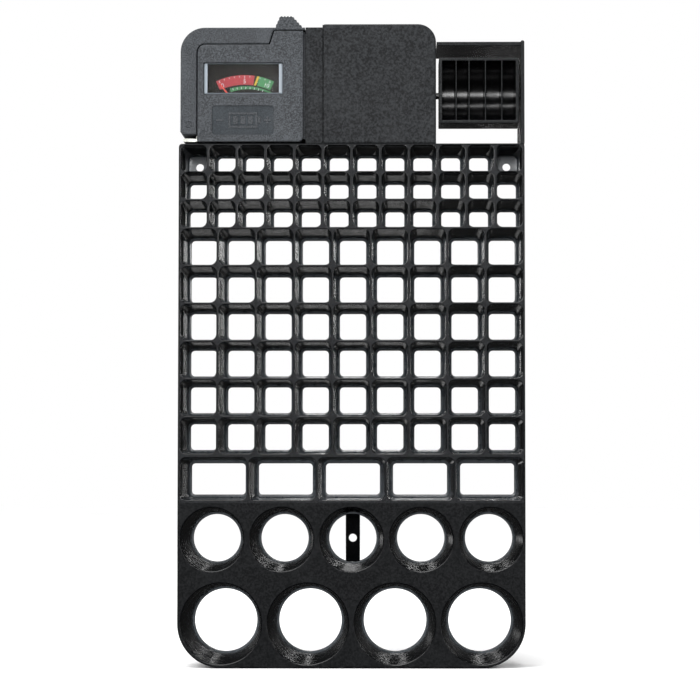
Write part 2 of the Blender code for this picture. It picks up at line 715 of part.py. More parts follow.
def make_rear_shell():
    parting = PARTING_Y + GAP / 2
    inside = TONGUE_BACK - SHELL_WALL
    before = parting - MM
    case = shell("rear_shell", (parting, HEAD_BACK), (parting, TONGUE_BACK), (before, inside))
    cut_arm_channel(case, before, RAIL_Y[1] + RAIL_ROOM)
    cut_contact_recess(case, before, CONTACT_Y[1] + GAP)
    bores, seats, bosses = bmesh.new(), bmesh.new(), bmesh.new()
    boss_end = inside + SHELL_WALL / 2
    seat_y = SCREW_HEAD_Y - GAP
    seat_depth = HEAD_BACK + MM - seat_y
    for x, z in SCREW_SPOTS:
        middle = (x, (parting + boss_end) / 2, z)
        add_cylinder(bosses, "Y", middle, BOSS_RADIUS, boss_end - parting, BOSS_SIDES)
        add_cylinder(bores, "Y", (x, parting, z), SCREW_RADIUS + GAP, 2 * TRAY_DEPTH, BOSS_SIDES)
        seat = (x, seat_y + seat_depth / 2, z)
        add_cylinder(seats, "Y", seat, SCREW_HEAD_RADIUS + 0.4 * MM, seat_depth, 12)
    boolean(case, cutter(bosses, "rear_bosses"), "UNION")
    boolean(case, cutter(bores, "rear_boss_bores"))
    boolean(case, cutter(seats, "rear_screw_seats"))
    pads = bmesh.new()
    for x in NINE_VOLT_PADS:
        spot = (x, HEAD_BACK, NINE_VOLT_PAD_Z)
        add_cylinder(pads, "Y", spot, NINE_VOLT_PAD_RADIUS + 0.4 * MM, 2 * NINE_VOLT_RECESS)
    boolean(case, cutter(pads, "nine_volt_recesses"))


def make_screws():
    for number, (x, z) in enumerate(SCREW_SPOTS, 1):
        bm = bmesh.new()
        head = (x, SCREW_HEAD_Y + SCREW_HEAD / 2, z)
        add_cylinder(bm, "Y", head, SCREW_HEAD_RADIUS, SCREW_HEAD, 12)
        screw = object_from(bm, f"shell_screw_{number}", STEEL)
        shank = bmesh.new()
        overlap = SCREW_HEAD / 8
        middle = (x, SCREW_HEAD_Y - SCREW_LENGTH / 2 + overlap, z)
        add_cylinder(shank, "Y", middle, SCREW_RADIUS, SCREW_LENGTH + overlap, 10)
        boolean(screw, cutter(shank, f"screw_shank_{number}"), "UNION")
        reach, half = SCREW_HEAD_RADIUS * 0.57, 0.3 * MM
        for way, (wide, tall) in enumerate(((reach, half), (half, reach))):
            slot = bmesh.new()
            low = (x - wide, SCREW_HEAD_Y + SCREW_HEAD * 0.57, z - tall)
            add_box(slot, low, (x + wide, SCREW_HEAD_Y + 2 * SCREW_HEAD, z + tall))
            boolean(screw, cutter(slot, f"screw_drive_{number}_{way}"))


# ---------------------------------------------------------------- arm and contacts


def tab_outline():
    """The thumb tab's serrated top, from its right foot to its left foot."""
    right_foot, left_foot = (HEAD_RIGHT - 0.4 * MM, ARM_TOP), (TAB_LEFT, ARM_TOP)
    points = [right_foot]
    slope_teeth, top_teeth = 4, 4
    flat_right, flat_left = -30.5 * MM, -37.0 * MM
    for tooth in range(slope_teeth):
        share = (tooth + 0.55) / slope_teeth
        x = right_foot[0] + (flat_right - right_foot[0]) * share
        z = ARM_TOP + (TAB_TOP - ARM_TOP) * share
        points += [(x + 0.35 * MM, z + 0.1 * MM), (x, z - 0.15 * MM)]
    for tooth in range(top_teeth):
        x = flat_right + (flat_left - flat_right) * (tooth + 0.5) / top_teeth
        points += [(x + 0.5 * MM, TAB_TOP), (x - 0.3 * MM, TAB_TOP), (x - 0.65 * MM, TAB_TOP - 0.5 * MM)]
    points.append(((flat_left + left_foot[0]) / 2 - 0.2 * MM, (TAB_TOP + ARM_TOP) / 2))
    points.append(left_foot)
    return points


def arm_outline():
    """The hooked arm: a limb down the left, a bar along the top and the thumb tab."""
    inner_x, inner_z = ARM_LEFT + ARM_LIMB, HEAD_SHOULDER + SEAM
    inner_corner = HEAD_CORNER + SEAM
    chamfer = 1.3 * MM
    strip_z = HEAD_TOP + SEAM
    return [
        (ARM_LEFT + chamfer, ARM_BOTTOM),
        (inner_x, ARM_BOTTOM),
        *reversed(arc(inner_x + inner_corner, inner_z - inner_corner, inner_corner, 90, 180, 4)),
        (NECK_X - SEAM, inner_z),
        (NECK_X + NECK_RUN - SEAM, strip_z),
        (HEAD_RIGHT - 0.4 * MM, strip_z),
        *tab_outline(),
        *arc(ARM_LEFT + ARM_CORNER, ARM_TOP - ARM_CORNER, ARM_CORNER, 90, 180, 6),
        (ARM_LEFT, ARM_BOTTOM + chamfer),
    ]


def make_arm():
    bm = bmesh.new()
    add_prism(bm, arm_outline(), ARM_FRONT, ARM_BACK)
    arm = object_from(bm, "test_arm", TESTER_GREY)
    rail = bmesh.new()
    low = (RAIL_START, RAIL_Y[0], RAIL_Z[0])
    add_box(rail, low, (RAIL_END, RAIL_Y[1], RAIL_Z[1]))
    boolean(arm, cutter(rail, "arm_rail"), "UNION")
    hollow = bmesh.new()
    inner_x = ARM_LEFT + ARM_LIMB
    low = (ARM_LEFT + ARM_WALL, ARM_FRONT + ARM_WALL, ARM_BOTTOM + ARM_WALL)
    add_box(hollow, low, (inner_x - ARM_WALL, MM, ARM_TOP - ARM_CORNER))
    boolean(arm, cutter(hollow, "arm_limb_hollow"))
    bar = bmesh.new()
    low = (ARM_LEFT + ARM_CORNER, ARM_FRONT + ARM_WALL, HEAD_SHOULDER + SEAM + ARM_WALL)
    add_box(bar, low, (RAIL_START - 2 * MM, MM, ARM_TOP - ARM_WALL))
    boolean(arm, cutter(bar, "arm_bar_hollow"))
    recess = bmesh.new()
    room = STRIP_THICK
    low = (inner_x - MM, STRIP_Y[0] - room, ARM_BOTTOM - MM)
    add_box(recess, low, (inner_x + MM, STRIP_Y[1] + room, STRIP_TOP + room))
    boolean(arm, cutter(recess, "arm_contact_recess"))


def make_arm_contact():
    """A folded strip: flat on the arm's inner face, and turned under the end of the limb."""
    right = ARM_LEFT + ARM_LIMB - 0.25 * MM
    left = ARM_LEFT + 0.9 * MM
    foot_top, foot_bottom = ARM_BOTTOM - 1.3 * MM, ARM_BOTTOM - 3.2 * MM
    bend = (foot_top - foot_bottom) / 2
    outline = [
        (right, STRIP_TOP),
        (right - STRIP_THICK, STRIP_TOP),
        (right - STRIP_THICK, foot_top),
        *arc(left + bend, foot_top - bend, bend, 90, 270, 6),
        (right - bend, foot_bottom),
        (right, foot_bottom + bend),
    ]
    bm = bmesh.new()
    add_prism(bm, outline, *STRIP_Y)
    object_from(bm, "arm_contact", STEEL)


def make_body_contacts():
    left, right = HEAD_LEFT + 0.2 * MM, HEAD_LEFT + CONTACT_RECESS - GAP
    for name, (z_low, z_high) in (("button_contact", BUTTON_CONTACT_Z), ("cell_contact", CELL_CONTACT_Z)):
        bm = bmesh.new()
        add_box(bm, (left, CONTACT_Y[0], z_low), (right, CONTACT_Y[1], z_high))
        plate = object_from(bm, name, STEEL)
        soften = plate.modifiers.new("soft_edges", "BEVEL")
        soften.width = 0.12 * MM
        soften.segments = 1
    thick = NINE_VOLT_RECESS - GAP
    for sign, x in zip(("positive", "negative"), NINE_VOLT_PADS):
        bm = bmesh.new()
        add_cylinder(bm, "Y", (x, HEAD_BACK - thick / 2, NINE_VOLT_PAD_Z), NINE_VOLT_PAD_RADIUS, thick)
        object_from(bm, f"nine_volt_contact_{sign}", STEEL)


# ---------------------------------------------------------------- meter


def make_window():
    bm = bmesh.new()
    low = (WINDOW_X[0] + GAP, WINDOW_Y[0], WINDOW_Z[0] + GAP)
    add_box(bm, low, (WINDOW_X[1] - GAP, WINDOW_Y[1], WINDOW_Z[1] - GAP))
    lens = object_from(bm, "window", CLEAR_LENS)
    soften = lens.modifiers.new("soft_edges", "BEVEL")
    soften.width = 0.25 * MM
    soften.segments = 1


def make_dial():
    bm = bmesh.new()
    add_box(bm, (DIAL_X[0], DIAL_Y[0], DIAL_Z[0]), (DIAL_X[1], DIAL_Y[1], DIAL_Z[1]))
    dial = object_from(bm, "dial_plate", DIAL_FACE)
    notch = bmesh.new()
    add_cylinder(notch, "Y", (METER_X, DIAL_Y[0], METER_Z), DIAL_NOTCH_RADIUS, 4 * MM, 20)
    boolean(dial, cutter(notch, "dial_hub_notch"))


def make_meter():
    """A core-magnet moving-coil movement: the coil turns round the fixed core inside the yoke."""
    centre_y = sum(METER_Y) / 2
    length = METER_Y[1] - METER_Y[0]
    bm = bmesh.new()
    add_cylinder(bm, "Y", (METER_X, centre_y, METER_Z), CORE_RADIUS, length, 16)
    object_from(bm, "core_magnet", MAGNET_GREY)

    bm = bmesh.new()
    add_cylinder(bm, "Y", (METER_X, centre_y, METER_Z), YOKE_OUTER, length, 24)
    yoke = object_from(bm, "meter_yoke", MAGNET_GREY)
    bore = bmesh.new()
    add_cylinder(bore, "Y", (METER_X, centre_y, METER_Z), YOKE_INNER, length * 2, 24)
    boolean(yoke, cutter(bore, "yoke_bore"))
    holders = bmesh.new()
    for side in (1, -1):
        near, far = CORE_RADIUS + GAP, YOKE_INNER + CORE_HOLDER
        low_z, high_z = sorted((METER_Z + side * near, METER_Z + side * far))
        add_box(holders, (METER_X - MM, METER_Y[0], low_z), (METER_X + MM, METER_Y[1], high_z))
    boolean(yoke, cutter(holders, "core_holders"), "UNION")

    bm = bmesh.new()
    turn = Matrix.Rotation(-math.radians(NEEDLE_REST_DEG), 3, "Y")
    hub = (METER_X, 0, METER_Z)
    low = (METER_X - COIL_REACH, COIL_Y[0], METER_Z - COIL_HALF)
    add_box(bm, low, (METER_X + COIL_REACH, COIL_Y[1], METER_Z + COIL_HALF))
    bmesh.ops.rotate(bm, verts=bm.verts, cent=hub, matrix=turn)
    coil = object_from(bm, "moving_coil", COPPER)
    eye = bmesh.new()
    inner = COIL_REACH - COIL_WIRE
    low = (METER_X - inner, COIL_Y[0] + COIL_WIRE, METER_Z - 2 * COIL_HALF)
    add_box(eye, low, (METER_X + inner, COIL_Y[1] - COIL_WIRE, METER_Z + 2 * COIL_HALF))
    bmesh.ops.rotate(eye, verts=eye.verts, cent=hub, matrix=turn)
    boolean(coil, cutter(eye, "coil_eye"))

    for name, (y_low, y_high) in (("front_pivot", FRONT_SHAFT_Y), ("rear_pivot", REAR_SHAFT_Y)):
        bm = bmesh.new()
        middle = (METER_X, (y_low + y_high) / 2, METER_Z)
        add_cylinder(bm, "Y", middle, SHAFT_RADIUS, y_high - y_low, 12)
        object_from(bm, name, STEEL)

    wide, tall = BRIDGE_HALF
    for name, (y_low, y_high) in (("front_bridge", FRONT_BRIDGE_Y), ("rear_bridge", REAR_BRIDGE_Y)):
        bm = bmesh.new()
        add_box(bm, (METER_X - wide, y_low, METER_Z - tall), (METER_X + wide, y_high, METER_Z + tall))
        bridge = object_from(bm, name, BRASS)
        eye = bmesh.new()
        add_cylinder(eye, "Y", (METER_X, y_low, METER_Z), SHAFT_RADIUS + GAP, 6 * MM, 12)
        boolean(bridge, cutter(eye, name + "_eye"))
    pillars = bmesh.new()
    wide, tall = PILLAR_HALF
    y_low, y_high = FRONT_BRIDGE_Y[1] + GAP, REAR_BRIDGE_Y[0] - GAP
    for side in (1, -1):
        x = METER_X + side * PILLAR_X
        add_box(pillars, (x - wide, y_low, METER_Z - tall), (x + wide, y_high, METER_Z + tall))
    boolean(yoke, cutter(pillars, "bridge_pillars"), "UNION")


def make_needle():
    axis = joint_axis("needle_axis", (METER_X, 0, METER_Z))
    hang_on(axis, "moving_coil", "front_pivot", "rear_pivot")
    y_front, y_back = NEEDLE_Y
    bm = bmesh.new()
    hub, tip, tail = 2.0 * MM, 0.25 * MM, 5.0 * MM
    blade = [(0.9 * MM, 0), (tip, NEEDLE_LENGTH), (-tip, NEEDLE_LENGTH), (-0.9 * MM, 0)]
    counterweight = [(-0.7 * MM, 0), (-1.3 * MM, -tail), (1.3 * MM, -tail), (0.7 * MM, 0)]
    add_prism(bm, blade + counterweight, y_front, y_back)
    needle = object_from(bm, "needle", NEEDLE_RED)
    needle.parent = axis
    needle.rotation_euler = (0, -math.radians(NEEDLE_REST_DEG), 0)
    disc = bmesh.new()
    add_cylinder(disc, "Y", (METER_X, (y_front + y_back) / 2, METER_Z), hub, y_back - y_front, 16)
    boolean(needle, cutter(disc, "needle_hub"), "UNION")
    eye = bmesh.new()
    add_cylinder(eye, "Y", (METER_X, y_front, METER_Z), SHAFT_RADIUS + 0.25 * MM, 6 * MM, 12)
    boolean(needle, cutter(eye, "needle_eye"))


def coil_points(turns, per_turn, place):
    steps = turns * per_turn
    return [place(i / steps, 2 * math.pi * turns * i / steps) for i in range(steps + 1)]


def wire(name, points, radius, look):
    """A round wire along points, with closed ends."""
    curve = bpy.data.curves.new(name, "CURVE")
    curve.dimensions = "3D"
    curve.bevel_depth = radius
    curve.bevel_resolution = 1
    curve.use_fill_caps = True
    line = curve.splines.new("POLY")
    line.points.add(len(points) - 1)
    for spot, point in zip(line.points, points):
        spot.co = (*point, 1.0)
    made = bpy.data.objects.new(name, curve)
    curve.materials.append(look)
    PARTS.objects.link(made)
    return made


def make_springs():
    def spiral(share, angle):
        radius = (1.2 + 2.4 * share) * MM
        return (METER_X + radius * math.cos(angle), -30.1 * MM, METER_Z + radius * math.sin(angle))

    wire("hairspring", coil_points(3, 12, spiral), 0.1 * MM, BRASS)

    start, end = 20.5 * MM, 29.5 * MM
    radius, centre_y, centre_z = 1.9 * MM, -20.0 * MM, 317.0 * MM

    def helix(share, angle):
        x = start + (end - start) * share
        return (x, centre_y + radius * math.cos(angle), centre_z + radius * math.sin(angle))

    wire("arm_spring", coil_points(9, 8, helix), 0.3 * MM, STEEL)


def make_electrics():
    bm = bmesh.new()
    add_box(bm, (-20.0 * MM, -13.0 * MM, 280.0 * MM), (14.0 * MM, -11.6 * MM, 306.0 * MM))
    object_from(bm, "circuit_board", BOARD_TAN)
    for name, z in (("cell_load_resistor", 299.0 * MM), ("button_load_resistor", 287.0 * MM)):
        half, radius = 5.0 * MM, 1.7 * MM
        profile = [(0, half), (radius * 0.8, half), (radius, half * 0.75), (radius * 0.85, half * 0.5)]
        profile += [(r, -z_up) for r, z_up in reversed(profile)]
        bm = bmesh.new()
        chain = [bm.verts.new((r, 0, up)) for r, up in profile]
        for a, b in zip(chain, chain[1:]):
            bm.edges.new((a, b))
        mesh = bpy.data.meshes.new(name)
        bm.to_mesh(mesh)
        bm.free()
        mesh.materials.append(RESISTOR_BLUE)
        body = bpy.data.objects.new(name, mesh)
        PARTS.objects.link(body)
        turned = body.modifiers.new("turned", "SCREW")
        turned.steps = 12
        turned.render_steps = 12
        turned.use_merge_vertices = True
        turned.merge_threshold = 0.00001
        body.location = (-3.0 * MM, -15.2 * MM, z)
        body.rotation_euler = (0, math.pi / 2, 0)


# ---------------------------------------------------------------- assembly

make_tray_rows()
make_dock()
make_bay_frame()
make_bin()
make_front_shell()
make_rear_shell()
make_screws()
make_arm()
make_arm_contact()
make_body_contacts()
make_window()
make_dial()
make_meter()
make_needle()
make_springs()
make_electrics()

BIN_PIECES = ("button_bin",)
ARM_PIECES = ("test_arm", "arm_contact")
TESTER_PIECES = (
    "front_shell",
    "rear_shell",
    *(f"shell_screw_{number}" for number in range(1, len(SCREW_SPOTS) + 1)),
    "cell_contact",
    "button_contact",
    "nine_volt_contact_positive",
    "nine_volt_contact_negative",
    "window",
    "dial_plate",
    "core_magnet",
    "meter_yoke",
    "front_bridge",
    "rear_bridge",
    "hairspring",
    "arm_spring",
    "circuit_board",
    "cell_load_resistor",
    "button_load_resistor",
)
RAIL_CENTRE = (RAIL_START, sum(RAIL_Y) / 2, sum(RAIL_Z) / 2)
TONGUE_CENTRE = (TONGUE_RIGHT, PARTING_Y, (TONGUE_BOTTOM + TONGUE_TOP) / 2)
hang_on(joint_axis("bin_axis", ((BIN_LEFT + BIN_RIGHT) / 2, PIN_Y, PIN_Z)), *BIN_PIECES)
hang_on(joint_axis("arm_axis", RAIL_CENTRE), *ARM_PIECES)
hang_on(joint_axis("tester_axis", TONGUE_CENTRE), *TESTER_PIECES)
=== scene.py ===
"""The looks of the wall battery organiser with its docked battery tester.

Metres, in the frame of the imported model: X across the tray, -Y out of its open front, +Z up.
"""

import math

import bmesh
import bpy
from mathutils import Matrix, Vector


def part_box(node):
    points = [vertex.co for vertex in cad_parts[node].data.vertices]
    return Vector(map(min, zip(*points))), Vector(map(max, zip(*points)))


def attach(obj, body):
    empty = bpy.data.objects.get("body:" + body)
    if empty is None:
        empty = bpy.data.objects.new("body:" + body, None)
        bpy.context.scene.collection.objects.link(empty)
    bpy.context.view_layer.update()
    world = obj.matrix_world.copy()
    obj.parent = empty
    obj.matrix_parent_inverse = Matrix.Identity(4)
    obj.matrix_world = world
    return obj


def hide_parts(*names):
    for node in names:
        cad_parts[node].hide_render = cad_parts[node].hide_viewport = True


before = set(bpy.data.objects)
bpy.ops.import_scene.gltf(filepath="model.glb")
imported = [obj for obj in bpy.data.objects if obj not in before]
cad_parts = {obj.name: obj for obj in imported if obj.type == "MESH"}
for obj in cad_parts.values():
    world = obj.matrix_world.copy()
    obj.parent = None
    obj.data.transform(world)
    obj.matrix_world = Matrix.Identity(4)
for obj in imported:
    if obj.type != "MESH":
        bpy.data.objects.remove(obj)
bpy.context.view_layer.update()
MM = 0.001

# --- sizes from the frame ---
D_LOW, D_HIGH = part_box("d_row")
C_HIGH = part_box("c_row")[1]
TRAY_HALF = D_HIGH[0]
FRONT = D_LOW[1]
BACK = D_HIGH[1]
TRAY_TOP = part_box("aaa_row_1")[1][2]
SEAM_HALF = 0.15 * MM
D_TOP = D_HIGH[2] + SEAM_HALF
C_TOP = C_HIGH[2] + SEAM_HALF

SIDE_WALL = 1.15 * MM
RIM_BAND = 0.7 * MM
SIDE_SINK = 0.8 * MM
SKIRT = 1.5 * MM
WEB = 3.0 * MM
DECK = 2.0 * MM
FLOOR = 2.0 * MM
CUP_WALL = 1.2 * MM
EDGE = 0.3 * MM
CORNER_STEPS = 6
ARC_REST = 8
EDGE_STEPS = 4
ROLL_STEPS = 5
WALL_STEPS = 7
FILLET_STEPS = 5
FILLET_SHARE = 0.15
LIP_STEP = 0.05 * MM
ROUND_STEPS = 72

# Cells and cups in millimetres: the front rim, the seat on the floor and the hole through it.
CELLS = {
    "aaa": {"columns": 12, "rim": (13.3, 13.55), "seat": (11.0, 11.0), "hole": (9.9, 9.9), "corner": 3.1},
    "aa": {"columns": 9, "rim": (18.45, 18.4), "seat": (15.2, 15.2), "hole": (13.8, 13.6), "corner": 3.3},
    "nine_volt": {
        "columns": 5,
        "rim": (34.3, 21.7),
        "seat": (29.8, 18.6),
        "hole": (28.4, 16.4),
        "corner": 3.0,
    },
}
CUPS = {
    "d": {"count": 4, "pitch": 44.4, "centre": 22.4, "rim": 41.2, "seat": 35.0, "hole": 32.8},
    "c": {"count": 5, "pitch": 35.7, "centre": 65.4, "rim": 32.4, "seat": 27.0, "hole": 24.9},
}
SCREW_HOLE = 4.2 * MM
SCREW_BAR = 7.5 * MM

# A corner's radius at the seat and at the hole, as a share of its radius at the rim.
SEAT_BEND, HOLE_BEND = 0.8, 0.62
CELL_FILLET, CELL_SWELL = 1.1 * MM, 0.45 * MM
CUP_FILLET = 0.8 * MM
SMALL = 0.25 * MM
# The tray's material slots.
MATT, GLOSS, PAINTED_SHADE, RIM, CUP, PAINTED_GLINT = range(6)

# --- materials ---


class Nodes:
    """A short way to lay out a material's nodes."""

    def __init__(self, name):
        self.material = bpy.data.materials.new(name)
        self.material.use_nodes = True
        self.tree = self.material.node_tree
        self.shader = self.tree.nodes["Principled BSDF"]
        self.place = self.add("ShaderNodeTexCoord").outputs["Object"]

    def add(self, kind, **settings):
        node = self.tree.nodes.new(kind)
        for key, value in settings.items():
            setattr(node, key, value)
        return node

    def link(self, source, target):
        self.tree.links.new(source, target)

    def noise(self, scale, detail=3.0, rough=0.55, stretch=None):
        node = self.add("ShaderNodeTexNoise")
        node.inputs["Scale"].default_value = scale
        node.inputs["Detail"].default_value = detail
        node.inputs["Roughness"].default_value = rough
        if stretch:
            squeeze = self.add("ShaderNodeMapping")
            squeeze.inputs["Scale"].default_value = stretch
            self.link(self.place, squeeze.inputs["Vector"])
            self.link(squeeze.outputs["Vector"], node.inputs["Vector"])
        else:
            self.link(self.place, node.inputs["Vector"])
        return node.outputs["Fac"]

    def ramp(self, value, low, high, start=0.3, end=0.7):
        """Maps value from start..end onto the numbers low..high."""
        node = self.add("ShaderNodeMapRange")
        node.inputs["From Min"].default_value = start
        node.inputs["From Max"].default_value = end
        node.inputs["To Min"].default_value = low
        node.inputs["To Max"].default_value = high
        self.link(value, node.inputs["Value"])
        return node.outputs["Result"]

    def mix(self, factor, first, second):
        node = self.add("ShaderNodeMix", data_type="RGBA")
        self.link(factor, node.inputs["Factor"])
        for socket, colour in ((node.inputs["A"], first), (node.inputs["B"], second)):
            if isinstance(colour, tuple):
                socket.default_value = (*colour, 1.0)
            else:
                self.link(colour, socket)
        return node.outputs["Result"]

    def bump(self, height, strength, distance, below=None):
        node = self.add("ShaderNodeBump")
        node.inputs["Strength"].default_value = strength
        node.inputs["Distance"].default_value = distance
        self.link(height, node.inputs["Height"])
        if below is not None:
            self.link(below, node.inputs["Normal"])
        return node.outputs["Normal"]


def set_look(nodes, colour=None, roughness=None, normal=None, **fixed):
    shader = nodes.shader
    links = (("Base Color", colour), ("Roughness", roughness), ("Normal", normal))
    for socket, source in links:
        if source is not None:
            nodes.link(source, shader.inputs[socket])
    for name, value in fixed.items():
        shader.inputs[name.replace("_", " ")].default_value = value
    return nodes.material


def grained_plastic(name, dark, light, rough, grain_scale, grain_depth, spark=0.35, shine=0.25):
    """Moulded plastic with a fine spark-eroded texture, lighter where the grain stands up."""
    nodes = Nodes(name)
    grain = nodes.noise(grain_scale, 4.0, 0.65)
    cloud = nodes.noise(grain_scale / 14, 2.0, 0.5)
    wear = nodes.noise(60, 5.0, 0.6)
    tone = nodes.mix(nodes.ramp(grain, 0, 1, 0.41, 0.61), dark, light)
    faded = tuple(c * 1.25 + 0.002 for c in light)
    tone = nodes.mix(nodes.ramp(wear, 0, spark, 0.5, 0.75), tone, faded)
    polish = nodes.ramp(cloud, rough - 0.07, rough + 0.09)
    height = nodes.bump(grain, 0.9, grain_depth, nodes.bump(cloud, 0.35, grain_depth * 2))
    return set_look(nodes, tone, polish, height, Specular_IOR_Level=shine)


def glossy_plastic(name, colour, rough, coat, ripple=0.0003, shine=0.5):
    """Polished plastic: slight waves from the mould, ripple deep, flow marks and a little dust."""
    nodes = Nodes(name)
    wave = nodes.noise(380, 1.5, 0.45, stretch=(1.0, 1.0, 0.12))
    fine = nodes.noise(1500, 3.0, 0.6)
    dust = nodes.noise(900, 6.0, 0.75)
    tone = nodes.mix(nodes.ramp(dust, 0, 0.5, 0.62, 0.8), colour, tuple(c + 0.010 for c in colour))
    polish = nodes.ramp(nodes.noise(240, 4.0, 0.6), rough * 0.8, rough * 1.3)
    height = nodes.bump(fine, 0.08, 0.00003, nodes.bump(wave, 0.12, ripple))
    return set_look(
        nodes, tone, polish, height, Coat_Weight=coat, Coat_Roughness=0.06, Specular_IOR_Level=shine
    )


def brushed_metal(name, colour, rough, scale=1400, stretch=(1.0, 1.0, 0.06)):
    nodes = Nodes(name)
    line = nodes.noise(scale, 4.0, 0.6, stretch=stretch)
    stain = nodes.noise(220, 3.0, 0.6)
    tone = nodes.mix(nodes.ramp(stain, 0, 1), colour, tuple(c * 0.72 for c in colour))
    polish = nodes.ramp(line, rough * 0.7, rough * 1.5)
    return set_look(nodes, tone, polish, nodes.bump(line, 0.3, 0.00003), Metallic=1.0)


def painted(name, colour, rough=0.45):
    nodes = Nodes(name)
    speck = nodes.noise(2600, 3.0, 0.6)
    tone = nodes.mix(nodes.ramp(speck, 0, 1, 0.35, 0.7), colour, tuple(c * 0.8 for c in colour))
    polish = nodes.ramp(nodes.noise(500), rough - 0.08, rough + 0.08)
    return set_look(nodes, tone, polish, nodes.bump(speck, 0.15, 0.00002))


def clear_plastic(name):
    nodes = Nodes(name)
    haze = nodes.noise(320, 5.0, 0.65, stretch=(0.3, 1.0, 1.0))
    polish = nodes.ramp(haze, 0.02, 0.10)
    return set_look(
        nodes,
        roughness=polish,
        normal=nodes.bump(haze, 0.03, 0.00005),
        Base_Color=(0.97, 0.985, 1.0, 1.0),
        Transmission_Weight=1.0,
        IOR=1.45,
    )


def wound_copper(name):
    """Fine turns of wire, side by side."""
    nodes = Nodes(name)
    wave = nodes.add("ShaderNodeTexWave", bands_direction="Y")
    wave.inputs["Scale"].default_value = 1800
    wave.inputs["Distortion"].default_value = 0.4
    nodes.link(nodes.place, wave.inputs["Vector"])
    tone = nodes.mix(wave.outputs["Fac"], (0.72, 0.30, 0.14), (0.36, 0.12, 0.05))
    return set_look(nodes, tone, nodes.ramp(nodes.noise(700), 0.22, 0.4), Metallic=1.0)


TRAY_MATT = grained_plastic(
    "tray_matt", (0.001, 0.0015, 0.002), (0.0085, 0.009, 0.010), 0.55, 1100, 0.00013, shine=0.13
)
TRAY_RIM = grained_plastic(
    "tray_rim", (0.002, 0.0025, 0.0035), (0.014, 0.015, 0.017), 0.5, 1200, 0.00009, shine=0.2
)
TRAY_GLOSS = glossy_plastic("tray_gloss", (0.0012, 0.0016, 0.0024), 0.12, 0.15, shine=0.4)
TRAY_CUP = glossy_plastic("tray_cup", (0.0012, 0.0015, 0.002), 0.24, 0.0, 0.00005, 0.35)
# Painted shade: a darker, less shiny copy of the glossy wall look, for the wall faces turned downwards.
TRAY_PAINTED_SHADE = glossy_plastic("tray_painted_shade", (0.001, 0.0013, 0.002), 0.2, 0.0, shine=0.22)
# Painted highlight: a light bluish grey on the fillets and ledges round the holes, standing in for the
# bright glints there.
TRAY_PAINTED_GLINT = glossy_plastic("tray_painted_glint", (0.14, 0.16, 0.18), 0.28, 0.5)
TRAY_LOOKS = (TRAY_MATT, TRAY_GLOSS, TRAY_PAINTED_SHADE, TRAY_RIM, TRAY_CUP, TRAY_PAINTED_GLINT)
DOCK_MATT = grained_plastic(
    "dock_matt", (0.005, 0.0055, 0.0065), (0.023, 0.025, 0.0275), 0.6, 900, 0.00020, shine=0.2
)
TESTER_SKIN = grained_plastic(
    "tester_skin", (0.016, 0.018, 0.0205), (0.062, 0.068, 0.076), 0.5, 1600, 0.00015
)
PLAQUE_SKIN = grained_plastic(
    "plaque_skin", (0.013, 0.017, 0.021), (0.030, 0.037, 0.044), 0.42, 1800, 0.00008, 0.2
)
BIN_GLOSS = glossy_plastic("bin_gloss", (0.001, 0.001, 0.0015), 0.2, 0.0, 0.0001)
BIN_EDGE = grained_plastic(
    "bin_edge", (0.002, 0.0025, 0.003), (0.016, 0.0175, 0.0185), 0.4, 1300, 0.00008, shine=0.15
)
STEEL = brushed_metal("contact_steel", (0.50, 0.51, 0.47), 0.3)
DARK_STEEL = brushed_metal("magnet_steel", (0.20, 0.20, 0.21), 0.4)
BRASS = brushed_metal("brass", (0.80, 0.61, 0.30), 0.27)
COPPER = wound_copper("coil_copper")
LENS = clear_plastic("clear_lens")
# Painted reflection: an opaque blue grey on the clear lens's bevel, standing in for the light it catches.
LENS_PAINTED_REFLECTION = painted("lens_painted_reflection", (0.30, 0.34, 0.38), 0.18)
DIAL_BLACK = painted("dial_black", (0.017, 0.014, 0.011), 0.6)
DIAL_RED = painted("dial_red", (0.60, 0.065, 0.075))
DIAL_GREEN = painted("dial_green", (0.085, 0.34, 0.12))
DIAL_YELLOW = painted("dial_yellow", (0.90, 0.62, 0.06))
DIAL_WHITE = painted("dial_white", (0.86, 0.87, 0.88))
NEEDLE_RED = painted("needle_red", (1.0, 0.10, 0.06), 0.3)
BOARD = painted("board_tan", (0.42, 0.25, 0.10), 0.6)
RESISTOR = painted("resistor_blue", (0.22, 0.40, 0.52), 0.35)

# --- mesh building ---


def loop_at(bm, outline, y):
    return [bm.verts.new((x, y, z)) for x, z in outline]


def skin(bm, first, second, look=0):
    """Quads between two closed loops of equally many points."""
    count = len(first)
    for i in range(count):
        j = (i + 1) % count
        bm.faces.new((first[i], first[j], second[j], second[i])).material_index = look


def bridge(bm, rings):
    """A closed shape from its rings, with both ends capped."""
    for first, second in zip(rings, rings[1:]):
        skin(bm, first, second)
    bm.faces.new(rings[0])
    bm.faces.new(rings[-1])


def arc(cx, cz, radius, start, end, steps):
    angles = [math.radians(start + (end - start) * i / steps) for i in range(steps + 1)]
    return [(cx + radius * math.cos(a), cz + radius * math.sin(a)) for a in angles]


def rounded_rect(cx, cz, width, height, corner, steps=CORNER_STEPS):
    right, up = width / 2 - corner, height / 2 - corner
    points = []
    for quarter, (sx, sz) in enumerate(((1, 1), (-1, 1), (-1, -1), (1, -1))):
        points += arc(cx + sx * right, cz + sz * up, corner, 90 * quarter, 90 * quarter + 90, steps)
    return points


def centre_of(low, high):
    return (low[0] + high[0]) / 2, (low[2] + high[2]) / 2


def box_outline(low, high):
    return [(low[0], low[2]), (high[0], low[2]), (high[0], high[2]), (low[0], high[2])]


def circle(cx, cz, radius, steps):
    return arc(cx, cz, radius, 0, 360 - 360 / steps, steps - 1)


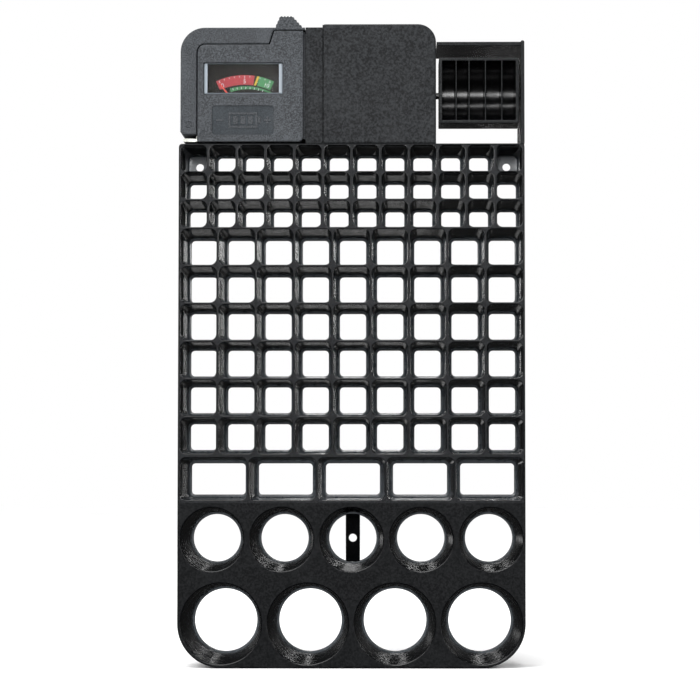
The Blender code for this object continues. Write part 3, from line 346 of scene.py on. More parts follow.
def offset(outline, inset):
    """The outline drawn in by inset, for points that run anticlockwise."""
    count, moved = len(outline), []
    for i, (x, z) in enumerate(outline):
        before, after = outline[i - 1], outline[(i + 1) % count]
        into = Vector((x - before[0], z - before[1])).normalized()
        out = Vector((after[0] - x, after[1] - z)).normalized()
        inward = Vector((-into.y - out.y, into.x + out.x)).normalized()
        lean = max(0.35, inward.dot(Vector((-into.y, into.x))))
        moved.append((x + inward.x * inset / lean, z + inward.y * inset / lean))
    return moved


def slab(bm, outline, y_front, y_back, round_front=0.0, round_back=0.0, steps=4):
    """A closed plate whose front and back edges are rounded over."""
    rings = []
    for y_face, radius, into in ((y_front, round_front, 1), (y_back, round_back, -1)):
        edge = []
        for i in range(steps + 1 if radius else 1):
            angle = math.pi / 2 * i / steps
            inset = radius * (1 - math.sin(angle)) if radius else 0
            depth = radius * (1 - math.cos(angle)) if radius else 0
            edge.append(loop_at(bm, offset(outline, inset), y_face + into * depth))
        rings += edge if into == 1 else edge[::-1]
    bridge(bm, rings)


def add_box(bm, low, high):
    size = [h - l for l, h in zip(low, high)]
    centre = [(l + h) / 2 for l, h in zip(low, high)]
    bmesh.ops.create_cube(bm, size=1.0, matrix=Matrix.Translation(centre) @ Matrix.Diagonal((*size, 1.0)))


def add_pin(bm, centre, radius, length, sides=32):
    """A cylinder along X."""
    spot = Matrix.Translation(centre) @ Matrix.Rotation(math.pi / 2, 4, "Y")
    bmesh.ops.create_cone(
        bm, cap_ends=True, segments=sides, radius1=radius, radius2=radius, depth=length, matrix=spot
    )


def prism_x(bm, outline, x_low, x_high):
    """A prism along X from (y, z) points."""
    bridge(bm, [[bm.verts.new((x, y, z)) for y, z in outline] for x in (x_low, x_high)])


def closed_mesh(bm, name):
    bm.normal_update()
    bmesh.ops.recalc_face_normals(bm, faces=bm.faces)
    mesh = bpy.data.meshes.new(name)
    bm.to_mesh(mesh)
    bm.free()
    return mesh


def place(name, data):
    """A new object in the scene."""
    made = bpy.data.objects.new(name, data)
    bpy.context.scene.collection.objects.link(made)
    return made


def raw_object(bm, name):
    return place(name, closed_mesh(bm, name))


def apply_modifiers(item):
    graph = bpy.context.evaluated_depsgraph_get()
    mesh = bpy.data.meshes.new_from_object(item.evaluated_get(graph))
    item.modifiers.clear()
    item.data = mesh


def carve(target, bm, operation="DIFFERENCE"):
    """Cuts the shape in bm from target, or joins it on, for good."""
    tool = raw_object(bm, "tool")
    step = target.modifiers.new("cut", "BOOLEAN")
    step.operation = operation
    step.solver = "EXACT"
    step.object = tool
    apply_modifiers(target)
    bpy.data.objects.remove(tool, do_unlink=True)


def carve_box(target, low, high, operation="DIFFERENCE"):
    bm = bmesh.new()
    add_box(bm, low, high)
    carve(target, bm, operation)


def carve_slab(target, outline, *sizes, operation="DIFFERENCE"):
    bm = bmesh.new()
    slab(bm, outline, *sizes)
    carve(target, bm, operation)


def soften(item, width, segments=2, angle=40):
    step = item.modifiers.new("soft_edges", "BEVEL")
    step.width = width
    step.segments = segments
    step.limit_method = "ANGLE"
    step.angle_limit = math.radians(angle)
    step.miter_outer = "MITER_ARC"
    apply_modifiers(item)


def finish_piece(item, body, looks, nodes=(), sharp=32):
    """Shading, materials and the ties to the frame."""
    if not item.data.materials:
        for look in looks:
            item.data.materials.append(look)
    else:
        for i, look in enumerate(looks):
            item.data.materials[i] = look
    item.data.shade_smooth()
    item.data.set_sharp_from_angle(angle=math.radians(sharp))
    flat = item.modifiers.new("even_shading", "WEIGHTED_NORMAL")
    flat.keep_sharp = True
    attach(item, body)
    if nodes:
        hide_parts(*nodes)
    return item


def piece(bm, name, body, looks, nodes=(), sharp=32):
    return finish_piece(raw_object(bm, name), body, looks, nodes, sharp)


# --- the tray moulding ---


def tile_border(box, centre, reach, steps):
    """The points of a rectangular tile's border that match a rounded rectangle's points."""
    (x0, z0, x1, z1), (cx, cz), (right, up) = box, centre, reach
    points = []
    for sx, sz, side_first in ((1, 1, True), (-1, 1, False), (-1, -1, True), (1, -1, False)):
        edge_x, edge_z = (x1 if sx > 0 else x0), (z1 if sz > 0 else z0)
        start_x, start_z = cx + sx * right, cz + sz * up
        for i in range(steps + 1):
            share = i / steps * 2
            along = min(share, 1.0), max(share - 1.0, 0.0)
            if side_first:
                x, z = edge_x + (start_x - edge_x) * along[1], start_z + (edge_z - start_z) * along[0]
            else:
                x, z = start_x + (edge_x - start_x) * along[0], edge_z + (start_z - edge_z) * along[1]
            points.append((x, z))
    return points


def within_sides(outline):
    """The outline, held inside the tray's side walls and its top wall."""
    side, top = TRAY_HALF - SIDE_SINK, TRAY_TOP - SIDE_SINK
    return [(min(max(x, -side), side), min(z, top)) for x, z in outline]


def well_rings(bm, border, shape, edge, web, top_look, bend, reach, swell):
    """Every ring of one well, from the tile's front border, down its wall, out through the floor's
    hole and back up the outside to the tile's border behind. shape(which, grow) gives an outline,
    where which is rim, seat, hole or a share of the way from rim to seat. The wall hollows out by
    swell towards the floor, and a fillet, bend deep, brings it back to reach inside the seat."""
    floor_y = BACK - FLOOR
    wall = floor_y - bend - FRONT
    rings = [(border, FRONT, top_look)]
    for i in range(EDGE_STEPS + 1):
        angle = math.pi / 2 * i / EDGE_STEPS
        grow = edge * (1 - math.sin(angle))
        rings.append((shape("rim", grow), FRONT + edge * (1 - math.cos(angle)), GLOSS if i else top_look))
    for i in range(1, WALL_STEPS):
        share = i / WALL_STEPS
        grow = swell * math.sin(math.pi / 2 * share) - (LIP_STEP if i == 1 else 0.0)
        rings.append((shape(share, grow), FRONT + edge + (wall - edge) * share, GLOSS))
    for i in range(FILLET_STEPS + 1):
        angle = math.pi / 2 * i / FILLET_STEPS
        grow = swell - (reach + swell) * (1 - math.cos(angle))
        # From the third fillet ring on, the fillet and the ledge round the hole take the painted highlight.
        look = PAINTED_GLINT if i > 1 else GLOSS
        rings.append((shape("seat", grow), floor_y - bend * (1 - math.sin(angle)), look))
    rings += [
        (shape("hole", SMALL), floor_y, PAINTED_GLINT),
        (shape("hole", SMALL * 0.3), floor_y + SMALL * 0.3, PAINTED_GLINT),
        (shape("hole", 0.0), floor_y + SMALL, GLOSS),
        (shape("hole", 0.0), BACK - SMALL, GLOSS),
        (shape("hole", SMALL), BACK, GLOSS),
        (within_sides(shape("seat", CUP_WALL - SMALL)), BACK, GLOSS),
        (within_sides(shape("seat", CUP_WALL)), BACK - SMALL, GLOSS),
        (within_sides(shape(web / (BACK - FRONT), CUP_WALL)), FRONT + web, MATT),
        (border, FRONT + web, MATT),
    ]
    previous = None
    for outline, y, look in rings:
        current = loop_at(bm, outline, y)
        if previous:
            skin(bm, previous, current, look)
        previous = current


def close_sides(bm, web):
    """Walls between the front and back borders of a finished band of tiles."""
    bmesh.ops.remove_doubles(bm, verts=bm.verts, dist=1e-6)
    loose = [edge for edge in bm.edges if len(edge.link_faces) == 1]

    def lies_at(edge, y):
        return abs(edge.verts[0].co.y - y) <= 1e-5

    def spot(vert):
        return round(vert.co.x, 6), round(vert.co.z, 6)

    behind = {spot(vert): vert for edge in loose if lies_at(edge, FRONT + web) for vert in edge.verts}
    for edge in loose:
        a, b = edge.verts
        a_back, b_back = behind.get(spot(a)), behind.get(spot(b))
        if lies_at(edge, FRONT) and a_back and b_back:
            bm.faces.new((a, b, b_back, a_back)).material_index = MATT


def screw_hole(cx, cz, radius):
    """A circle of four arcs, with as many points as a rounded rectangle has."""
    points = []
    for quarter in range(4):
        start, end = 90 * quarter + ARC_REST, 90 * quarter + 90 - ARC_REST
        points += arc(cx, cz, radius, start, end, CORNER_STEPS)
    return points


def cell_band(bm, kind, z_low, z_high, screw_columns=()):
    facts = CELLS[kind]
    rim, seat, hole = ([side * MM for side in facts[key]] for key in ("rim", "seat", "hole"))
    corner = facts["corner"] * MM
    columns = facts["columns"]
    pitch = (2 * TRAY_HALF - 2 * SIDE_WALL - rim[0]) / (columns - 1)
    cz = (z_low + z_high) / 2
    inner = TRAY_HALF - RIM_BAND
    for column in range(columns):
        cx = (column - (columns - 1) / 2) * pitch
        closed = column in screw_columns

        def shape(which, grow):
            if which == "hole" and closed:
                return screw_hole(cx, cz, SCREW_HOLE / 2 + grow)
            if which == "hole":
                return rounded_rect(cx, cz, *(side + 2 * grow for side in hole), corner * HOLE_BEND + grow)
            share = {"rim": 0.0, "seat": 1.0}.get(which, which)
            size = [a + (b - a) * share + 2 * grow for a, b in zip(rim, seat)]
            return rounded_rect(cx, cz, *size, corner * (1 + (SEAT_BEND - 1) * share) + grow)

        left = max(cx - pitch / 2, -inner) if column else -inner
        right = min(cx + pitch / 2, inner) if column < columns - 1 else inner
        reach = (rim[0] / 2 - corner, rim[1] / 2 - corner)
        border = tile_border((left, z_low, right, z_high), (cx, cz), reach, CORNER_STEPS)
        reach = FILLET_SHARE * (seat[0] - hole[0]) / 2
        well_rings(bm, border, shape, EDGE, WEB, RIM, CELL_FILLET, reach, CELL_SWELL)


def cup_border(box, centre, foot=None):
    """Points on a tile's border straight out from a cup's centre. foot is the side, -1 or 1, of a
    rounded bottom corner that is concentric with the cup."""
    (x0, z0, x1, z1), (cx, cz) = box, centre
    angles = [math.radians(360 * i / ROUND_STEPS) for i in range(ROUND_STEPS)]
    points = []
    for a in angles:
        dx, dz = math.cos(a), math.sin(a)
        if foot and dz < 0 and dx * foot > 0:
            reach = cz - z0
        else:
            ways = ((dx, x0 - cx, x1 - cx), (dz, z0 - cz, z1 - cz))
            reach = min((far if way > 0 else near) / way for way, near, far in ways if abs(way) > 1e-9)
        points.append((cx + dx * reach, cz + dz * reach))
    rounded = {None: None, -1: (x0, z0), 1: (x1, z0)}[foot]
    for corner in ((x0, z0), (x1, z0), (x1, z1), (x0, z1)):
        if corner == rounded:
            continue
        nearest = min(range(len(points)), key=lambda i: math.dist(points[i], corner))
        points[nearest] = corner
    return points


def cup_band(bm, kind, z_low, z_high, rounded_foot=False):
    facts = CUPS[kind]
    pitch, cz = facts["pitch"] * MM, facts["centre"] * MM
    radii = {"rim": facts["rim"] * MM / 2, "seat": facts["seat"] * MM / 2, "hole": facts["hole"] * MM / 2}
    inner = TRAY_HALF - RIM_BAND
    for number in range(facts["count"]):
        cx = (number - (facts["count"] - 1) / 2) * pitch
        first, last = number == 0, number == facts["count"] - 1

        def shape(which, grow):
            radius = radii.get(which)
            if radius is None:
                radius = radii["rim"] + (radii["seat"] - radii["rim"]) * which
            return circle(cx, cz, radius + grow, ROUND_STEPS)

        left = -inner if first else cx - pitch / 2
        right = inner if last else cx + pitch / 2
        foot = {(True, False): -1, (False, True): 1}.get((first, last)) if rounded_foot else None
        border = cup_border((left, z_low, right, z_high), (cx, cz), foot)
        reach = FILLET_SHARE * (radii["seat"] - radii["hole"])
        well_rings(bm, border, shape, 2 * EDGE, DECK, MATT, CUP_FILLET, reach, 0.0)


def skirt_outline(inset):
    """The tray's outline, anticlockwise from the top left, drawn in by inset."""
    corner = CUPS["d"]["centre"] * MM
    left, right = -TRAY_HALF, TRAY_HALF
    tight = 1.6 * MM
    return [
        *arc(left + tight, TRAY_TOP - tight, tight - inset, 90, 180, 4),
        *arc(left + corner, corner, corner - inset, 180, 270, 20),
        *arc(right - corner, corner, corner - inset, 270, 360, 20),
        *arc(right - tight, TRAY_TOP - tight, tight - inset, 0, 90, 4),
    ]


def add_skirt(bm):
    """The wall round the tray, rounded over at the front and open behind."""
    profile = [(RIM_BAND, FRONT)]
    for i in range(1, ROLL_STEPS + 1):
        angle = math.pi / 2 * i / ROLL_STEPS
        profile.append((RIM_BAND * (1 - math.sin(angle)), FRONT + RIM_BAND * (1 - math.cos(angle))))
    profile += [(0, BACK - SMALL), (SMALL, BACK), (SKIRT - SMALL, BACK), (SKIRT, BACK - SMALL)]
    profile += [(SKIRT, FRONT + WEB), (RIM_BAND, FRONT + WEB)]
    rings = [loop_at(bm, skirt_outline(inset), y) for inset, y in profile]
    for first, second in zip(rings, rings[1:] + rings[:1]):
        skin(bm, first, second, MATT)


def make_tray():
    whole, nodes = bmesh.new(), ["d_row", "c_row"]

    def join(bm):
        mesh = closed_mesh(bm, "part")
        whole.from_mesh(mesh)
        bpy.data.meshes.remove(mesh)

    def add_band(build, web, *details):
        bm = bmesh.new()
        build(bm, *details)
        close_sides(bm, web)
        join(bm)

    add_band(cup_band, DECK, "d", RIM_BAND, D_TOP, True)
    add_band(cup_band, DECK, "c", D_TOP, C_TOP)
    rows = [("nine_volt", "nine_volt_row"), *(("aa", f"aa_row_{row}") for row in range(1, 7))]
    rows += [("aaa", f"aaa_row_{row}") for row in range(1, 4)]
    for kind, node in rows:
        low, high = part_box(node)
        at_top = node == "aaa_row_1"
        top = TRAY_TOP - RIM_BAND if at_top else high[2] + SEAM_HALF
        screws = (0, CELLS["aaa"]["columns"] - 1) if at_top else ()
        add_band(cell_band, WEB, kind, low[2] - SEAM_HALF, top, screws)
        nodes.append(node)
    skirt = bmesh.new()
    add_skirt(skirt)
    join(skirt)
    mesh = bpy.data.meshes.new("tray_moulding")
    whole.to_mesh(mesh)
    whole.free()
    for face in mesh.polygons:
        if face.material_index == GLOSS and face.center.z < C_TOP:
            face.material_index = CUP
        # Glossy faces turned downwards get the painted shade.
        elif face.material_index == GLOSS and face.normal.z < -0.3:
            face.material_index = PAINTED_SHADE
    finish_piece(place("tray_moulding", mesh), "tray", TRAY_LOOKS, nodes, 30)


def make_screw_bar():
    """The bar with a screw hole across the floor of the middle C cup."""
    cup = CUPS["c"]
    cz, reach = cup["centre"] * MM, cup["hole"] * MM / 2 + 0.4 * MM
    low, high = (-SCREW_BAR / 2, 0, cz - reach), (SCREW_BAR / 2, 0, cz + reach)
    bm = bmesh.new()
    slab(bm, box_outline(low, high), BACK - FLOOR, BACK, 0.35 * MM, 0.2 * MM)
    bar = raw_object(bm, "screw_bar")
    carve_slab(bar, circle(0, cz, SCREW_HOLE / 2, 32), BACK - 2 * FLOOR, BACK + FLOOR)
    finish_piece(bar, "tray", (TRAY_GLOSS,))


# --- dock, bay and bin ---

DOCK_LOW, DOCK_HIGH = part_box("tester_dock")
DOCK_STEP = -15.1 * MM
DOCK_STRIP_TOP = 329.4 * MM
DOCK_STRIP_FRONT = -32.6 * MM
DOCK_CORNER = 9.4 * MM
GROOVE_WIDTH, GROOVE_DEPTH = 0.9 * MM, 2.2 * MM
DOCK_WALL = 1.6 * MM
POCKET_Z = (271.0 * MM, 327.8 * MM)
POCKET_Y = (-31.2 * MM, -8.8 * MM)
POCKET_END = 32.8 * MM
BIN_LOW, BIN_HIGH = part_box("button_bin")
BIN_X = (45.0 * MM, 86.2 * MM)
SLOT_WIDTHS = (6.8, 5.9, 7.7, 7.7, 6.7)
SLOT_RADIUS = 15.4 * MM
BIN_LIP = 1.7 * MM
PIN_Y, PIN_Z, PIN_RADIUS = -22.0 * MM, 295.4 * MM, 1.6 * MM
BAY_LOW, BAY_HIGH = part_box("bay_frame")
BAY_TOP, BAY_BAR, POST_WIDTH = 321.4 * MM, 2.0 * MM, 1.9 * MM


def round_corner_panel(left, right, bottom, top, corner):
    rounded = arc(right - corner, top - corner, corner, 0, 90, 16)
    return [(left, bottom), (right, bottom), *rounded, (left, top)]


def make_dock():
    bm = bmesh.new()
    outline = round_corner_panel(DOCK_STEP, DOCK_HIGH[0], TRAY_TOP, DOCK_HIGH[2], DOCK_CORNER)
    slab(bm, outline, FRONT, BACK, 1.2 * MM, 0.4 * MM, steps=5)
    dock = raw_object(bm, "dock_housing")
    low, high = (DOCK_LOW[0], 0, TRAY_TOP), (DOCK_STEP + 3 * MM, 0, DOCK_STRIP_TOP)
    strip = box_outline(low, high)
    carve_slab(dock, strip, DOCK_STRIP_FRONT, BACK, 0.6 * MM, 0.4 * MM, operation="UNION")
    groove_end = (DOCK_STEP + GROOVE_WIDTH, FRONT + GROOVE_DEPTH, DOCK_HIGH[2] + MM)
    carve_box(dock, (DOCK_STEP, FRONT, TRAY_TOP - MM), groove_end)
    soften(dock, 0.15 * MM, 2, 60)
    mouth = DOCK_LOW[0] - MM
    pocket = bmesh.new()
    add_box(pocket, (mouth, POCKET_Y[0], POCKET_Z[0]), (POCKET_END, POCKET_Y[1], POCKET_Z[1]))
    add_box(pocket, (mouth, POCKET_Y[1] + DOCK_WALL, POCKET_Z[0]), (POCKET_END, MM, POCKET_Z[1]))
    left, right = POCKET_END + DOCK_WALL, DOCK_HIGH[0] - DOCK_WALL
    inner = round_corner_panel(left, right, POCKET_Z[0], DOCK_HIGH[2] - DOCK_WALL, right - left - SEAM_HALF)
    slab(pocket, inner, FRONT + DOCK_WALL, MM)
    add_pin(pocket, (DOCK_HIGH[0], PIN_Y, PIN_Z), PIN_RADIUS + 2 * SEAM_HALF, 6 * MM)
    carve(dock, pocket)
    finish_piece(dock, "tray", (DOCK_MATT,), ["tester_dock"])


def grain_faces(made, front, outside=False):
    """Gives a glossy piece's flat front rim, and its right side and top too, the grained second look."""
    for face in made.data.polygons:
        rim = face.normal.y < -0.9 and face.center.y < front + 0.2 * MM
        if rim or (outside and max(face.normal.x, face.normal.z) > 0.5):
            face.material_index = 1


def make_bay():
    left, right = BAY_LOW[0], BAY_HIGH[0]
    inner = right - POST_WIDTH
    top, radius = BAY_HIGH[2], POST_WIDTH / 2
    outline = [
        (left, BAY_TOP - BAY_BAR),
        (inner, BAY_TOP - BAY_BAR),
        (inner, TRAY_TOP),
        (right, TRAY_TOP),
        *arc(right - radius, top - radius, radius, 0, 180, 10),
        (inner, BAY_TOP),
        (left, BAY_TOP),
    ]
    bm = bmesh.new()
    slab(bm, outline, FRONT, BACK, 0.35 * MM, 0.3 * MM, steps=3)
    bay = raw_object(bm, "bay_arch")
    hole = bmesh.new()
    add_pin(hole, (right - radius, PIN_Y, PIN_Z), PIN_RADIUS + 2 * SEAM_HALF, 4 * MM)
    carve(bay, hole)
    grain_faces(bay, FRONT, outside=True)
    finish_piece(bay, "tray", (BIN_GLOSS, BIN_EDGE), ["bay_frame"])


def make_bin():
    front, back = BIN_LOW[1], BIN_HIGH[1]
    low, high = BIN_LOW[2], BIN_HIGH[2]
    corner, nose = 4.0 * MM, 0.5 * MM
    outline = [
        *arc(front + nose, low + nose, nose, 180, 270, 4),
        *arc(back - corner, low + corner, corner, 270, 360, 12),
        *arc(back - corner, high - corner, corner, 0, 90, 12),
        *arc(front + nose, high - nose, nose, 90, 180, 4),
    ]
    bm = bmesh.new()
    prism_x(bm, outline, *BIN_X)
    made = raw_object(bm, "coin_bin")
    spare = BIN_X[1] - BIN_X[0] - 2 * BIN_LIP - sum(SLOT_WIDTHS) * MM
    web = spare / (len(SLOT_WIDTHS) - 1)
    x, middle = BIN_X[0] + BIN_LIP, (low + high) / 2
    slots = bmesh.new()
    for width in SLOT_WIDTHS:
        bowl = arc(front + 2 * MM, middle, SLOT_RADIUS, -90, 90, 48)
        ends = [(front - MM, middle + side * SLOT_RADIUS) for side in (-1, 1)]
        prism_x(slots, [ends[0], *bowl, ends[1]], x, x + width * MM)
        x += width * MM + web
    carve(made, slots)
    soften(made, 0.28 * MM, 3, 50)
    pins = bmesh.new()
    for side, tip in ((BIN_X[0], BIN_LOW[0]), (BIN_X[1], BIN_HIGH[0])):
        inside = side + (side - tip) * 0.7
        add_pin(pins, ((inside + tip) / 2, PIN_Y, PIN_Z), PIN_RADIUS, abs(tip - inside), 40)
    carve(made, pins, "UNION")
    grain_faces(made, front)
    finish_piece(made, "bin", (BIN_GLOSS, BIN_EDGE), ["button_bin"])


# --- tester case ---

HEAD_X = (-79.5 * MM, -25.0 * MM)
HEAD_Z = (269.9 * MM, 327.35 * MM)
HEAD_SHOULDER = 320.25 * MM
HEAD_FRONT, HEAD_BACK = -34.0 * MM, -8.0 * MM
NECK_X, NECK_RUN = -42.2 * MM, 2.3 * MM
HEAD_CORNER, FOOT_CORNER = 3.9 * MM, 2.6 * MM
TONGUE_RIGHT = 32.3 * MM
TONGUE_Z = (271.5 * MM, 327.35 * MM)
TONGUE_Y = (-30.7 * MM, -9.3 * MM)
CASE_WALL = 1.6 * MM
PARTING = (-20.15 * MM, -19.85 * MM)
WINDOW_LOW, WINDOW_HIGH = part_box("window")
GAP = 0.3 * MM
PLAQUE_CENTRE = (-56.0 * MM, 281.0 * MM)
PLAQUE_SIZE = (32.0 * MM, 15.2 * MM)
PLAQUE_DEPTH = 0.6 * MM
CASE_DIMPLE = (-76.0 * MM, 273.5 * MM)
RAIL_LOW, RAIL_HIGH = (-46.0 * MM, -24.0 * MM, 320.9 * MM), (30.2 * MM, -16.0 * MM, 325.3 * MM)
ROOM = 0.4 * MM
SCREWS = [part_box(f"shell_screw_{number}") for number in range(1, 5)]
SHANK, SCREW_BOSS, SCREW_BORE, HEAD_DEPTH = 1.15 * MM, 2.8 * MM, 1.5 * MM, 1.7 * MM
POLES = ("positive", "negative")
DIAL_LOW, DIAL_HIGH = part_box("dial_plate")
METER_X, METER_Z = -55.4 * MM, 284.1 * MM
METER_WELL_Y, METER_WELL_Z = -31.9 * MM, 279.0 * MM


def head_outline():
    left, right = HEAD_X
    bottom, top = HEAD_Z
    return [
        (left, bottom),
        *arc(right - FOOT_CORNER, bottom + FOOT_CORNER, FOOT_CORNER, 270, 360, 8),
        (right, top),
        (NECK_X + NECK_RUN, top),
        (NECK_X, HEAD_SHOULDER),
        *arc(left + HEAD_CORNER, HEAD_SHOULDER - HEAD_CORNER, HEAD_CORNER, 90, 180, 10),
    ]


def case_half(name, head_y, tongue_y, hollow_y, rounding):
    """The head and the tongue in one, hollow towards the parting plane."""
    bm = bmesh.new()
    slab(bm, head_outline(), *head_y, *rounding)
    case = raw_object(bm, name)
    left, (low, high) = HEAD_X[1] - 4 * MM, TONGUE_Z
    tongue = box_outline((left, 0, low), (TONGUE_RIGHT, 0, high))
    carve_slab(case, tongue, *tongue_y, *(min(r, 0.4 * MM) for r in rounding), operation="UNION")
    carve_slab(case, offset(head_outline(), CASE_WALL), *hollow_y)
    far = (TONGUE_RIGHT - CASE_WALL, hollow_y[1], high - CASE_WALL)
    carve_box(case, (left, hollow_y[0], low + CASE_WALL), far)
    return case


def cut_side_openings(case, y_low, y_high, contact_y):
    """The rail's opening in the neck and the contacts' recess in the left wall."""
    low = (NECK_X - 3 * MM, y_low, RAIL_LOW[2] - ROOM)
    carve_box(case, low, (NECK_X + 8 * MM, y_high, RAIL_HIGH[2] + ROOM))
    recess = bmesh.new()
    for node in ("button_contact", "cell_contact"):
        low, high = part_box(node)
        near = (HEAD_X[0] - MM, contact_y[0], low[2] - GAP)
        add_box(recess, near, (high[0] + GAP, contact_y[1], high[2] + GAP))
    carve(case, recess)


def make_front_case():
    parting = PARTING[0]
    inside = TONGUE_Y[0] + CASE_WALL
    hollow_y = (inside, parting + MM)
    rounds = (0.55 * MM, 0.0)
    case = case_half("tester_front", (HEAD_FRONT, parting), (TONGUE_Y[0], parting), hollow_y, rounds)
    contact_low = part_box("cell_contact")[0][1] - GAP
    cut_side_openings(case, RAIL_LOW[1] - ROOM, parting + MM, (contact_low, parting + MM))
    wide, tall = WINDOW_HIGH[0] - WINDOW_LOW[0] + 2 * GAP, WINDOW_HIGH[2] - WINDOW_LOW[2] + 2 * GAP
    for step, y_back in ((0.0, WINDOW_HIGH[1] + GAP), (1.4 * MM, parting)):
        size = (wide - 2 * step, tall - step)
        hole = rounded_rect(*centre_of(WINDOW_LOW, WINDOW_HIGH), *size, 0.5 * MM, 3)
        carve_slab(case, hole, HEAD_FRONT - MM, y_back)
    near = (DIAL_LOW[0] - ROOM, METER_WELL_Y, METER_WELL_Z)
    carve_box(case, near, (DIAL_HIGH[0] + ROOM, parting + MM, DIAL_HIGH[2] + ROOM))
    for outline, depth in (
        (rounded_rect(*PLAQUE_CENTRE, *PLAQUE_SIZE, 1.5 * MM, 5), PLAQUE_DEPTH),
        (circle(*CASE_DIMPLE, 2.2 * MM, 32), 0.6 * MM),
    ):
        carve_slab(case, outline, HEAD_FRONT - MM, HEAD_FRONT + depth)
    soften(case, 0.12 * MM, 2, 60)
    finish_piece(case, "tester", (TESTER_SKIN,), ["front_shell"])


def ring_band(bm, cx, cz, outer, inner, y_front, y_back, steps=40):
    """A flat ring standing on a face."""
    slope = 0.08 * MM
    rings = [(outer, y_back), (outer - slope, y_front), (inner + slope, y_front), (inner, y_back)]
    loops = [loop_at(bm, circle(cx, cz, radius, steps), y) for radius, y in rings]
    for first, second in zip(loops, loops[1:] + loops[:1]):
        skin(bm, first, second)


def make_plaque():
    """The darker floor of the name panel, with a plain battery sign and its two poles raised on it."""
    cx, cz = PLAQUE_CENTRE
    floor = HEAD_FRONT + PLAQUE_DEPTH - 0.08 * MM
    bm = bmesh.new()
    room = 0.1 * MM
    outline = rounded_rect(cx, cz, PLAQUE_SIZE[0] - room, PLAQUE_SIZE[1] - room, 1.4 * MM, 5)
    slab(bm, outline, floor, floor + 0.12 * MM, 0.05 * MM, steps=2)
    piece(bm, "plaque_floor", "tester", (PLAQUE_SKIN,))
    bm = bmesh.new()

    def raised(x, z, wide, tall, corner=0.25 * MM):
        outline = rounded_rect(x, z, wide, tall, corner, 3)
        slab(bm, outline, floor - 0.32 * MM, floor + 0.02 * MM, 0.14 * MM, steps=2)

    wide, tall, line = 15.0 * MM, 8.0 * MM, 1.1 * MM
    for side in (1, -1):
        raised(cx, cz + side * (tall - line) / 2, wide, line)
        raised(cx + side * (wide - line) / 2, cz, line, tall - 2.1 * line)
    raised(cx + wide / 2 + 1.0 * MM, cz, 1.2 * MM, 3.4 * MM)
    for bar in (-1, 0, 1):
        raised(cx + bar * 3.9 * MM, cz, 2.6 * MM, tall - 4.0 * MM, 0.4 * MM)
    minus_x, plus_x, long, thin = cx - 11.8 * MM, cx + 12.6 * MM, 3.8 * MM, 1.0 * MM
    raised(minus_x, cz, long, thin)
    raised(plus_x, cz, long, thin)
    for side in (1, -1):
        raised(plus_x, cz + side * (long + thin) / 4, thin, (long - thin) / 2)
    piece(bm, "plaque_sign", "tester", (TESTER_SKIN,))


def lathe_y(bm, centre, profile, steps=32):
    """A turned shape about a line along Y, from (radius, y) pairs, with both ends flat."""
    bridge(bm, [loop_at(bm, circle(*centre, radius, steps), y) for radius, y in profile])


def make_rear_case():
    parting = PARTING[1]
    inside = TONGUE_Y[1] - CASE_WALL
    hollow_y = (parting - MM, inside)
    case = case_half("tester_back", (parting, HEAD_BACK), (parting, TONGUE_Y[1]), hollow_y, (0.0, 0.9 * MM))
    contact_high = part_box("cell_contact")[1][1] + GAP
    cut_side_openings(case, parting - MM, RAIL_HIGH[1] + ROOM, (parting - MM, contact_high))
    head = (SCREWS[0][1][0] - SCREWS[0][0][0]) / 2 + ROOM
    seat = SCREWS[0][1][1] - HEAD_DEPTH
    centres = [centre_of(*screw) for screw in SCREWS]
    for radius, start, end, operation in (
        (SCREW_BOSS, parting, inside + MM, "UNION"),
        (head, seat, HEAD_BACK + MM, "DIFFERENCE"),
        (SCREW_BORE, parting - MM, HEAD_BACK, "DIFFERENCE"),
    ):
        turned = bmesh.new()
        for centre in centres:
            lathe_y(turned, centre, ((radius, start), (radius, end)))
        carve(case, turned, operation)
    pads = bmesh.new()
    for sign in POLES:
        low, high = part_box(f"nine_volt_contact_{sign}")
        radius = (high[0] - low[0]) / 2 + ROOM
        lathe_y(pads, centre_of(low, high), ((radius, HEAD_BACK - 0.8 * MM), (radius, HEAD_BACK + MM)))
    carve(case, pads)
    finish_piece(case, "tester", (TESTER_SKIN,), ["rear_shell"])


def make_screws():
    for number, (low, high) in enumerate(SCREWS, 1):
        cx, cz = centre_of(low, high)
        head, top = (high[0] - low[0]) / 2, high[1]
        under = top - 1.4 * MM
        profile = [(SHANK, low[1]), (SHANK, under), (head, under + 0.05 * MM), (head, top - 0.7 * MM)]
        profile += [(head * 0.9, top - 0.35 * MM), (head * 0.7, top - 0.12 * MM), (head * 0.4, top)]
        bm = bmesh.new()
        lathe_y(bm, (cx, cz), profile)
        screw = raw_object(bm, f"case_screw_{number}")
        reach, half = head * 0.55, 0.3 * MM
        for wide, tall in ((reach, half), (half, reach)):
            carve_box(screw, (cx - wide, top - 0.6 * MM, cz - tall), (cx + wide, top + MM, cz + tall))
        finish_piece(screw, "tester", (STEEL,), [f"shell_screw_{number}"])


def make_contacts():
    for sign in POLES:
        node = f"nine_volt_contact_{sign}"
        low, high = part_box(node)
        radius = (high[0] - low[0]) / 2
        bm = bmesh.new()
        profile = [(radius - 0.1 * MM, low[1]), (radius, low[1] + 0.1 * MM), (radius, high[1] - 0.15 * MM)]
        profile += [(radius - 0.15 * MM, high[1]), (radius * 0.45, high[1])]
        profile += [(radius * 0.3, high[1] - 0.2 * MM)]
        lathe_y(bm, centre_of(low, high), profile, 48)
        piece(bm, f"snap_pad_{sign}", "tester", (STEEL,), [node])


# --- arm ---

